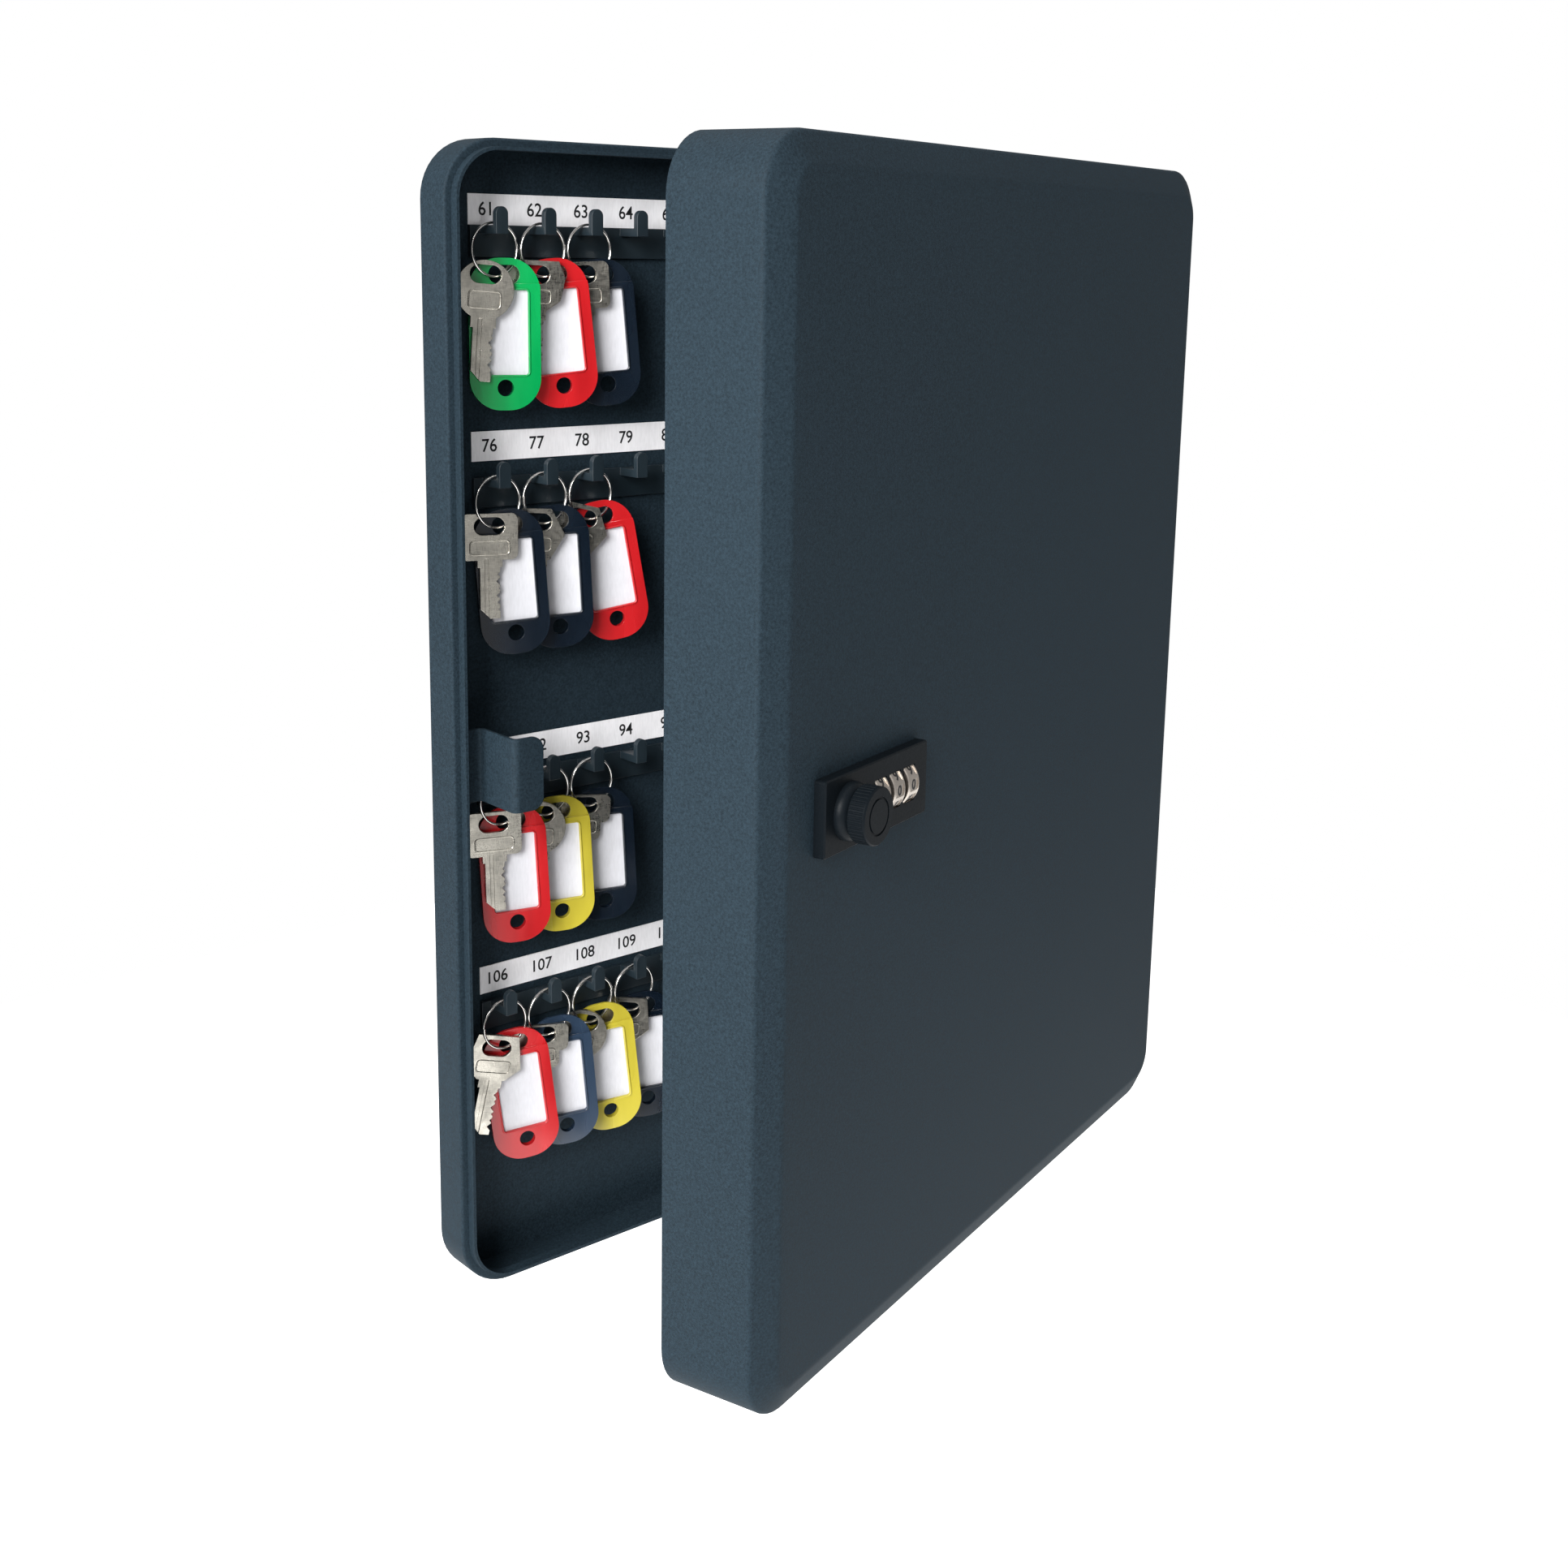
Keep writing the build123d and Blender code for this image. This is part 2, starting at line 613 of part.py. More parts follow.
def build_knob_collar():
    """Domed collar round the knob's shaft, on the plate."""
    with BuildPart() as collar:
        with BuildSketch(Plane(origin=(KNOB_X, PLATE_Y, LOCK_Z), x_dir=(1, 0, 0), z_dir=(0, 0, -1))):
            with BuildLine():
                Line((SPINDLE_R + LOOSE, 0), (COLLAR_R, 0))
                Line((COLLAR_R, 0), (COLLAR_R, COLLAR_FOOT))
                EllipticalCenterArc(
                    (COLLAR_TOP_R, COLLAR_FOOT),
                    COLLAR_R - COLLAR_TOP_R,
                    COLLAR_HEIGHT - COLLAR_FOOT,
                    start_angle=0,
                    arc_size=90,
                )
                Line((COLLAR_TOP_R, COLLAR_HEIGHT), (SPINDLE_R + LOOSE, COLLAR_HEIGHT))
                Line((SPINDLE_R + LOOSE, COLLAR_HEIGHT), (SPINDLE_R + LOOSE, 0))
            make_face()
        revolve(axis=Axis((KNOB_X, 0, LOCK_Z), (0, 1, 0)))
    return collar.part


def build_knob():
    """Knurled round knob with a ring groove on its face and a socket for the spindle."""
    rear = PLATE_Y - COLLAR_HEIGHT - KNOB_GAP
    with BuildPart() as knob:
        with BuildSketch(front_plane(rear, KNOB_X, LOCK_Z)):
            Circle(KNOB_R)
        extrude(amount=KNOB_THICK)
        chamfer(knob.edges().filter_by(GeomType.CIRCLE), KNOB_BEVEL)
        with BuildSketch(front_plane(rear, KNOB_X, LOCK_Z)):
            with PolarLocations(KNOB_R + KNURL_R / 3, KNURLS):
                Circle(KNURL_R)
        extrude(amount=KNOB_THICK - KNURL_STOP, mode=Mode.SUBTRACT)
        with BuildSketch(front_plane(rear - KNOB_THICK, KNOB_X, LOCK_Z)):
            Circle(FACE_RING_R)
            Circle(FACE_RING_R - FACE_RING_WIDE, mode=Mode.SUBTRACT)
        extrude(amount=-FACE_RING_DEEP, mode=Mode.SUBTRACT)
        with BuildSketch(front_plane(rear, KNOB_X, LOCK_Z)):
            Circle(SPINDLE_R)
        extrude(amount=KNOB_SOCKET, mode=Mode.SUBTRACT)
    return knob.part


def build_spindle():
    """Shaft from the knob through the housing to the cam, with a groove for its clip."""
    front = PLATE_Y - COLLAR_HEIGHT - KNOB_GAP - KNOB_SOCKET
    with BuildPart() as spindle:
        with BuildSketch(front_plane(CAM_Y, KNOB_X, LOCK_Z)):
            Circle(SPINDLE_R)
        extrude(amount=CAM_Y - front)
        with BuildSketch(front_plane(CAM_Y + CAM_THICK, KNOB_X, LOCK_Z)):
            Rectangle(CAM_SQUARE, CAM_SQUARE)
        extrude(amount=CAM_THICK)
        with BuildSketch(front_plane(HOUSING_REAR_Y + CLIP_THICK + LOOSE / 2, KNOB_X, LOCK_Z)):
            Circle(SPINDLE_R)
            Circle(CLIP_R_IN, mode=Mode.SUBTRACT)
        extrude(amount=CLIP_THICK, mode=Mode.SUBTRACT)
        with BuildSketch(front_plane(CAM_Y + CAM_THICK, KNOB_X, LOCK_Z)):
            Circle(CAM_SCREW_R)
        extrude(amount=CAM_SCREW_BITE, mode=Mode.SUBTRACT)
    return spindle.part


def build_spindle_clip():
    """Open clip in the spindle's groove, against the back of the housing."""
    with BuildPart() as clip:
        with BuildSketch(front_plane(HOUSING_REAR_Y + CLIP_THICK + LOOSE / 2, KNOB_X, LOCK_Z)):
            Circle(CLIP_R_OUT)
            Circle(CLIP_R_IN, mode=Mode.SUBTRACT)
            with Locations((0, -CLIP_R_OUT)):
                Rectangle(2 * CLIP_R_IN, 2 * CLIP_R_OUT - CLIP_R_IN, mode=Mode.SUBTRACT)
        extrude(amount=CLIP_THICK)
    return clip.part


def build_latch_cam():
    """Cam that points up when unlocked and turns behind the bracket's lip when locked."""
    with BuildPart() as cam:
        with BuildSketch(front_plane(CAM_Y + CAM_THICK, KNOB_X, LOCK_Z)):
            Circle(CAM_HUB_R)
            with Locations((0, CAM_LENGTH / 2)):
                Rectangle(CAM_WIDTH, CAM_LENGTH)
            Rectangle(CAM_SQUARE, CAM_SQUARE, mode=Mode.SUBTRACT)
        extrude(amount=CAM_THICK)
        fillet(cam.edges().filter_by(Axis.Y).group_by(Axis.Z)[-1], CAM_TIP_ROUND)
    return cam.part


def build_cam_screw():
    """Screw with a washer face that holds the cam on the spindle's square."""
    rear = CAM_Y + CAM_THICK
    with BuildPart() as screw:
        with BuildSketch(front_plane(rear, KNOB_X, LOCK_Z)):
            Circle(CAM_SCREW_R)
        extrude(amount=CAM_SCREW_BITE)
        with BuildSketch(front_plane(rear, KNOB_X, LOCK_Z)):
            Circle(CAM_SCREW_HEAD_R)
        extrude(amount=-CAM_SCREW_HEAD)
        fillet(screw.faces().sort_by(Axis.Y)[-1].edges(), CAM_SCREW_HEAD / 3)
        with BuildSketch(front_plane(rear + CAM_SCREW_HEAD, KNOB_X, LOCK_Z)):
            Rectangle(2 * DRIVE_LONG, DRIVE_WIDE)
            Rectangle(DRIVE_WIDE, 2 * DRIVE_LONG)
        extrude(amount=DRIVE_DEEP, mode=Mode.SUBTRACT)
    return screw.part


def hang_plane(row, index, side, yaw, tilt):
    """Plane at a hanging piece's eye: local y points up the piece and local z towards the front."""
    turn = math.radians(yaw)
    lean = math.radians(tilt)
    share = math.radians(EYE_SHARE)
    x = hook_x(index) + side * RING_R * math.sin(share)
    z = BODY_ROWS[row] + RING_LIFT - RING_R * math.cos(share)
    across = Vector(math.cos(turn), math.sin(turn), 0)
    up = Vector(0, 0, 1)
    return Plane(
        origin=(x, RING_Y, z),
        x_dir=across * math.cos(lean) + up * math.sin(lean),
        z_dir=(math.sin(turn), -math.cos(turn), 0),
    )


def place(solid, planes, label):
    """One node that holds a copy of the solid on each plane."""
    with BuildPart() as node:
        with Locations(*[plane.location for plane in planes]):
            add(solid)
    return finish(node.part, label)


def build_key_rings():
    """Wire rings hung over the hooks' stalks."""
    with BuildPart() as rings:
        for row, index, colour, bow, tag_tilt, key_tilt in KEY_SETS:
            middle = (hook_x(index), RING_Y, BODY_ROWS[row] + RING_LIFT)
            with BuildSketch(Plane(origin=middle, x_dir=(1, 0, 0), z_dir=(0, 0, 1))):
                with Locations((RING_R, 0)):
                    Circle(WIRE_R)
            revolve(axis=Axis(middle, (0, 1, 0)))
    return rings.part


def tag_solid():
    """Plastic key tag with a thin eye at the top, a window for its card and a hole at the bottom."""
    middle = TAG_EYE_DROP - TAG_LENGTH / 2
    with BuildPart() as tag:
        with BuildSketch(Plane.XY.offset(-TAG_THICK / 2)):
            with Locations((0, middle)):
                RectangleRounded(TAG_WIDTH, TAG_LENGTH, TAG_ROUND)
            with Locations((0, CARD_DROP)):
                RectangleRounded(CARD_WIDTH, CARD_LENGTH, CARD_ROUND, mode=Mode.SUBTRACT)
            with Locations((0, TAG_EYE_DROP - TAG_LENGTH + TAG_HOLE_RISE)):
                Circle(TAG_HOLE_R, mode=Mode.SUBTRACT)
            SlotOverall(EYE_WIDE, EYE_HIGH, mode=Mode.SUBTRACT)
        extrude(amount=TAG_THICK)
        step = (TAG_THICK - TAG_EYE_THICK) / 2
        for level in (TAG_EYE_THICK / 2, -TAG_EYE_THICK / 2 - step):
            with BuildSketch(Plane.XY.offset(level)):
                with Locations((0, TAG_EYE_DROP - EYE_STEP / 2)):
                    Rectangle(TAG_WIDTH, EYE_STEP)
            extrude(amount=step, mode=Mode.SUBTRACT)
    return tag.part


def card_solid():
    """Paper card that fills the tag's window."""
    with BuildPart() as card:
        with BuildSketch(Plane.XY.offset(-CARD_THICK / 2)):
            with Locations((0, CARD_DROP)):
                RectangleRounded(CARD_WIDTH, CARD_LENGTH, CARD_ROUND)
        extrude(amount=CARD_THICK)
    return card.part


def bow_outline(bow):
    """Outline of a key's bow for the sketch that is open. Returns how far down it reaches."""
    if bow == "square":
        with Locations((0, SQUARE_BOW_DROP)):
            RectangleRounded(SQUARE_BOW_WIDTH, SQUARE_BOW_HEIGHT, BOW_ROUND)
        return SQUARE_BOW_DROP - SQUARE_BOW_HEIGHT / 2 + BLADE_OVERLAP
    if bow == "angular":
        Polygon(*ANGULAR_BOW, align=None)
        return ANGULAR_BOW[-1][1]
    if bow == "hexagon":
        with Locations((0, HEXAGON_BOW_DROP)):
            RegularPolygon(HEXAGON_BOW_R, 6)
        return HEXAGON_BOW_DROP - HEXAGON_BOW_R * math.cos(math.radians(30)) + BLADE_OVERLAP
    if bow == "stepped":
        with Locations((0, STEPPED_BOW_DROP)):
            RectangleRounded(STEPPED_BOW_WIDTH, STEPPED_BOW_HEIGHT, BOW_ROUND)
        with Locations((0, STEPPED_NECK_DROP)):
            RectangleRounded(STEPPED_NECK_WIDTH, STEPPED_NECK_HEIGHT, BOW_ROUND)
        return STEPPED_NECK_DROP - STEPPED_NECK_HEIGHT / 2
    if bow == "round":
        with Locations((0, ROUND_BOW_DROP)):
            Circle(ROUND_BOW_R)
        return ROUND_BOW_DROP - ROUND_BOW_R + BLADE_OVERLAP
    Polygon(*TRAPEZOID_BOW, align=None)
    return TRAPEZOID_BOW[-1][1]


def key_solid(bow):
    """Flat key: bow with a slot for the ring, shoulders, and a blade cut with a wave of notches."""
    with BuildPart() as key:
        with BuildSketch(Plane.XY.offset(-KEY_THICK / 2)):
            base = bow_outline(bow)
            with Locations((0, base - SHOULDER / 2 + BLADE_OVERLAP)):
                Rectangle(SHOULDER_WIDE, SHOULDER + 2 * BLADE_OVERLAP)
            with Locations((0, base - SHOULDER - BLADE_LONG / 2)):
                Rectangle(BLADE_WIDTH, BLADE_LONG + 2 * BLADE_OVERLAP)
            for cut in range(KEY_CUTS):
                depth = CUT_DEEP * (CUT_MEAN + CUT_VARY * math.sin(CUT_STEP * cut + len(bow)))
                with Locations((BLADE_WIDTH / 2, base - SHOULDER - CUT_PITCH * (cut + 1))):
                    notch = ((-depth, 0), (CUT_OUT, CUT_OUT + depth), (CUT_OUT, -CUT_OUT - depth))
                    Polygon(*notch, align=None, mode=Mode.SUBTRACT)
            with Locations((-BLADE_WIDTH / 2, base - SHOULDER - BLADE_LONG - BLADE_OVERLAP)):
                Rectangle(TIP_CUT, TIP_CUT, rotation=45, mode=Mode.SUBTRACT)
            SlotOverall(EYE_WIDE, EYE_HIGH, mode=Mode.SUBTRACT)
        extrude(amount=KEY_THICK)
        for level in (KEY_THICK / 2 - GROOVE_DEEP, -KEY_THICK / 2):
            with BuildSketch(Plane.XY.offset(level)):
                with Locations((-GROOVE_ASIDE, base - SHOULDER - BLADE_LONG / 2)):
                    Rectangle(GROOVE_WIDE, BLADE_LONG + 2 * SHOULDER)
            extrude(amount=GROOVE_DEEP, mode=Mode.SUBTRACT)
    return key.part


def finish(part, label):
    """Name a piece and write its file."""
    part.label = label
    export_step(part, f"parts/{label}.step")
    return part


def finish_on_door(part, label):
    """Turn a door piece from shut to the resting angle, then name and write it."""
    return finish(part.rotate(HINGE_AXIS, DOOR_ANGLE), label)


def build_case():
    """Everything that stays on the wall."""
    finish(build_back_tray(), "back_tray")
    finish(build_latch_bracket(), "latch_bracket")
    finish(build_hinge_leaves(1, (0, 2), PIN_R), "hinge_leaves_case")
    finish(build_hinge_pins(), "hinge_pins")
    finish(build_hinge_rivets(1), "hinge_rivets_case")
    for number, row in enumerate(BODY_ROWS):
        finish(build_hook_strip(row, PANEL_Y, -1), f"hook_strip_case_{number + 1}")
        lift = BODY_LABEL_LIFTS[number]
        finish(build_label(row, lift, PANEL_Y, -1), f"number_label_case_{number + 1}")


def build_door():
    """Everything that swings with the door."""
    finish_on_door(build_door_tray(), "door_tray")
    finish_on_door(build_hinge_leaves(-1, (1,), PIN_R + PIN_FIT), "hinge_leaves_door")
    finish_on_door(build_hinge_rivets(-1), "hinge_rivets_door")
    for number, row in enumerate(DOOR_ROWS):
        finish_on_door(build_hook_strip(row, DOOR_PANEL_Y, 1), f"hook_strip_door_{number + 1}")
        finish_on_door(build_label(row, DOOR_LABEL_LIFT, DOOR_PANEL_Y, 1), f"number_label_door_{number + 1}")


def build_lock():
    """The combination lock, its knob and its cam."""
    finish_on_door(build_lock_plate(), "lock_plate")
    finish_on_door(build_lock_housing(), "lock_housing")
    finish_on_door(build_lock_screws(), "lock_screws")
    finish_on_door(build_code_lever(), "code_lever")
    finish_on_door(build_dial_axle(), "dial_axle")
    for index in range(DIALS):
        finish_on_door(build_dial_wheel(index), f"dial_wheel_{index + 1}")
    finish_on_door(build_knob_collar(), "knob_collar")
    finish_on_door(build_knob(), "knob")
    finish_on_door(build_spindle(), "spindle")
    finish_on_door(build_spindle_clip(), "spindle_clip")
    finish_on_door(build_latch_cam(), "latch_cam")
    finish_on_door(build_cam_screw(), "cam_screw")


def build_key_sets():
    """The rings, tags, cards and keys that hang in the case."""
    finish(build_key_rings(), "key_rings")
    tag = tag_solid()
    tag_planes = {}
    key_planes = {}
    for row, index, colour, bow, tag_tilt, key_tilt in KEY_SETS:
        tag_planes.setdefault(colour, []).append(hang_plane(row, index, 1, SET_YAW, tag_tilt))
        key_planes.setdefault(bow, []).append(hang_plane(row, index, -1, SET_YAW, key_tilt))
    for colour, planes in tag_planes.items():
        place(tag, planes, f"key_tags_{colour}")
    place(card_solid(), sum(tag_planes.values(), []), "tag_cards")
    for bow, planes in key_planes.items():
        place(key_solid(bow), planes, f"keys_{bow}_bow")


os.makedirs("parts", exist_ok=True)
build_case()
build_door()
build_lock()
build_key_sets()
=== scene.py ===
"""Looks for the key cabinet: paint, plastic, paper, plated metal, numbers, rings, tags and keys.

Everything is in metres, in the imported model's frame. The cabinet's origin is the middle of its wall
holes, Z is up and the case faces -Y. The door rests part open.
"""

import json
import math

import bmesh
import bpy
import numpy as np
from mathutils import Matrix, Vector

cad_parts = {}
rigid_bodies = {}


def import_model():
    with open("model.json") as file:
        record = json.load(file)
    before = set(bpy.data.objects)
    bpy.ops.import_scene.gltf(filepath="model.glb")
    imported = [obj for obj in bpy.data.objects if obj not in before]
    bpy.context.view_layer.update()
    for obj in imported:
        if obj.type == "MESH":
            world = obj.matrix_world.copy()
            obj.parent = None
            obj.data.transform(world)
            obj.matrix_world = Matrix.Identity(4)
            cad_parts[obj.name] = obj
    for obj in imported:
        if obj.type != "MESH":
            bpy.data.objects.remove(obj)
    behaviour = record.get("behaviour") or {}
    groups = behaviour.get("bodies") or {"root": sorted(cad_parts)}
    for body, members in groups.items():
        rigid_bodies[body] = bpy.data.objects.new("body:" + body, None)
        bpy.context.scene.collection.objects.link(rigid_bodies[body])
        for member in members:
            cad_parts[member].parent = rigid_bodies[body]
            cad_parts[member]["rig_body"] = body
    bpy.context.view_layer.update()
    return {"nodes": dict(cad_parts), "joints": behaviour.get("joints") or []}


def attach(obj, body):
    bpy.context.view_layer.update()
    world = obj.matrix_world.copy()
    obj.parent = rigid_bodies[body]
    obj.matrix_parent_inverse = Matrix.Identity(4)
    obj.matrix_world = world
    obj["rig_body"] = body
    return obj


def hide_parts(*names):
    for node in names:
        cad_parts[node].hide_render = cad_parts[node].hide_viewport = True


bl_info = {
    "name": "Key cabinet looks",
    "version": (1, 0, 0),
    "blender": (4, 5, 0),
    "location": "View3D > Sidebar > Cabinet",
    "description": "Paint, numbers, rings, tags, keys and studio for the key cabinet",
    "category": "Object",
}

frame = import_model()

MM = 0.001

HINGE = next(joint for joint in frame["joints"] if joint["name"] == "door_hinge")
DOOR_ANGLE = math.radians(-HINGE["range_deg"][0])
HOOK_COUNT = 15
FIRST_CASE_NUMBER = 61
DIAL_COUNT = 3
DIGIT_COUNT = 10

# Places that the pieces share with the cabinet's solids, in millimetres
HOOK_PITCH = 20.4
FIRST_HOOK_X = -149.5
CASE_ROWS = (174.3, 84.5, -27.7, -117.0)
CASE_LABEL_LIFTS = (11.3, 17.0, 13.5, 14.2)
DOOR_ROWS = (174.3, 84.5, -43.0, -125.0)
DOOR_LABEL_LIFT = 13.0
LABEL_HEIGHT = 10.8
CASE_LABEL_Y = -1.6
DOOR_LABEL_Y = -57.4
DIAL_X = -101.6
DIAL_PITCH = 10.0
DIAL_Y = -56.7
LOCK_Z = -3.5
POCKET_FLOOR_R = 8.65
RING_R = 9.4
RING_Y = -8.3
RING_RISE = 2.76
TAG_THICK = 2.6
KEY_THICK = 1.6
CARD_DROP = -20.5
WINDOW_WIDTH = 17.0
WINDOW_HEIGHT = 30.0

# Angle round its ring from the lowest point to where a tag or key hangs, and the sets' turn about Z
EYE_ANGLE = math.radians(23.8)
SET_YAW = math.radians(-20.0)

# Print and raised detail, in millimetres
CASE_PRINT_DEPTH = 0.03
CASE_PRINT_SPREAD = 0.06
DOOR_PRINT_DEPTH = 0.09
DOOR_PRINT_SPREAD = 0.12
DIGIT_DEPTH = 0.08
DIGIT_SPREAD = 0.13
LIP_MARGIN = 0.4
LIP_CORNER = 1.6
LIP_WIRE = 0.35
PANEL_CORNER = 1.3
PANEL_WIRE = 0.3

# Height of a digit as a share of its type size
DIGIT_SHARE = 0.7

# Steps of the curved pieces
EDGE_SEGMENTS = 2
LETTER_STEPS = 5
CORNER_STEPS = 8
LOOP_STEPS_AROUND = 8
RING_STEPS_ALONG = 97
RING_STEPS_AROUND = 10

# A split ring's two turns, short of closing by a gap, and the wires' spacing in wire radii
RING_SWEEP = 4 * math.pi - 0.25
WIRE_SPACING = 2.1

# Angle in radians where the first ring starts, and how much more it is for each row and each hook
RING_START = 0.4
RING_START_ROW = 0.9
RING_START_HOOK = 1.7

# Softening of the tags' and keys' edges, as shares of the moulded edge
TAG_EDGE_SHARE = 2.0
KEY_EDGE_SHARE = 0.7

# Limits for merging, flattening and shading meshes
WELD = 1e-6
FLAT_ANGLE = math.radians(0.6)
SHARP_ANGLE = math.radians(32)
FOLD_ANGLE = math.radians(50)

# Repeats of the finishes' patterns in a metre
PAINT_CLOUDS = 9.0
FLOW_MARKS = 90.0
MOULD_TEXTURE = 2400.0
SCRATCHES = 420.0
DULL_PATCHES = 70.0
KEY_PATCHES = 110.0
PAPER_FIBRES = 1500.0
PAPER_MOTTLE = 160.0
ORANGE_PEEL = 900.0
RUBBED_SPECKS = 260.0
FLOOR_MOTTLE = 3.0

# How many times finer than its grain the powder coat's specks are
SPECK_FINENESS = 2.6

# Depths of the finishes' relief, in millimetres
PAINT_RELIEF = 0.12
MOULD_RELIEF = 0.08
SCRATCH_RELIEF = 0.05
KEY_DENTS = 0.16
FIBRE_RELIEF = 0.04
PEEL_RELIEF = 0.06

# Roughness, scratching, staining (on the keys partly painted reflection), patches in a metre and relief in
# millimetres of each plated metal
PLATED_METALS = {
    "zinc_plate": (0.42, 0.6, 0.5, DULL_PATCHES, SCRATCH_RELIEF),
    "cast_zinc": (0.48, 0.3, 0.5, DULL_PATCHES, SCRATCH_RELIEF),
    "dial_nickel": (0.26, 0.5, 0.5, DULL_PATCHES, SCRATCH_RELIEF),
    "ring_nickel": (0.16, 0.3, 0.15, DULL_PATCHES, SCRATCH_RELIEF),
    # The keys' strong, fine dark patches are partly wear and partly painted reflection that varies the
    # flat metal's tone.
    "worn_key_nickel": (0.24, 1.0, 0.9, KEY_PATCHES, KEY_DENTS),
}

# Roughness of each paper and of the print
PAPERS = {"label_paper": 0.55, "white_card": 0.6, "black_ink": 0.5}

TAG_COLOURS = ("green", "red", "black", "yellow", "blue")

# Studio, in metres
FLOOR_HALF = 1.4
FLOOR_LEVEL = -0.62
FLOOR_GLOW = 0.66
FLOOR_TONES = (0.93, 0.96)
CAMERA_PLACE = (-0.5270, -0.6062, 0.1785)
CAMERA_YAW = math.radians(40.79)
CAMERA_PITCH = math.radians(11.46)
CAMERA_ROLL = math.radians(0.94)
CAMERA_SHIFT = -0.09
NEAREST_SEEN = 0.01
SENSOR_WIDTH_MM = 36.0

# Size, place and target of each soft light, in metres
SIDE_LIGHT = (1.0, (-1.6, -0.75, 0.75), (0.0, -0.05, 0.05))
TOP_LIGHT = (1.2, (0.0, 0.1, 1.5), (0.0, -0.05, 0.0))

# Row, hook, tag colour, key bow, tag tilt and key tilt in degrees of each hanging set
KEY_SETS = (
    (0, 0, "green", "round", 0, -4),
    (0, 1, "red", "angular", 6, -2),
    (0, 2, "black", "square", 5, 3),
    (1, 0, "black", "square", 4, 0),
    (1, 1, "black", "hexagon", 3, -3),
    (1, 2, "red", "hexagon", 10, -14),
    (2, 0, "red", "square", 3, 1),
    (2, 1, "yellow", "round", 3, -3),
    (2, 2, "black", "stepped", 3, -4),
    (3, 0, "red", "trapezoid", 7, -12),
    (3, 1, "blue", "stepped", 5, -2),
    (3, 2, "yellow", "round", 6, -16),
    (3, 3, "black", "trapezoid", 4, -10),
)

# Drop, width and height of the raised panel on each kind of key bow, in millimetres
BOW_PANELS = {
    "square": (-7.9, 14.5, 5.0),
    "trapezoid": (-7.7, 13.0, 4.8),
    "angular": (-7.8, 12.5, 4.8),
    "stepped": (-8.6, 11.0, 5.2),
    "hexagon": (-8.2, 11.5, 5.0),
    "round": (-8.9, 11.5, 6.0),
}


# ---------------------------------------------------------------- user settings


class CabinetSizes(bpy.types.PropertyGroup):
    """Sizes of the grain, the softened edges, the print and the wire."""

    paint_grain: bpy.props.FloatProperty(
        name="Paint grain", description="Spacing of the grain in the powder coat",
        default=0.9 * MM, min=0.1 * MM, subtype="DISTANCE", unit="LENGTH", precision=5,
    )
    sheet_edge: bpy.props.FloatProperty(
        name="Sheet edge", description="Softening of the cut edges of the steel sheets",
        default=0.3 * MM, min=0.0, subtype="DISTANCE", unit="LENGTH", precision=5,
    )
    moulded_edge: bpy.props.FloatProperty(
        name="Moulded edge", description="Softening of the edges of plastic and keys",
        default=0.22 * MM, min=0.0, subtype="DISTANCE", unit="LENGTH", precision=5,
    )
    number_height: bpy.props.FloatProperty(
        name="Number height", description="Height of the numbers over the hooks",
        default=4.7 * MM, min=1 * MM, subtype="DISTANCE", unit="LENGTH", precision=5,
    )
    number_aside: bpy.props.FloatProperty(
        name="Number offset", description="How far right of its hook a number is",
        default=1.0 * MM, subtype="DISTANCE", unit="LENGTH", precision=5,
    )
    digit_height: bpy.props.FloatProperty(
        name="Dial digit height", description="Height of the digits on the dial wheels",
        default=3.6 * MM, min=1 * MM, subtype="DISTANCE", unit="LENGTH", precision=5,
    )
    ring_wire: bpy.props.FloatProperty(
        name="Ring wire", description="Radius of the split rings' wire",
        default=0.45 * MM, min=0.1 * MM, subtype="DISTANCE", unit="LENGTH", precision=5,
    )


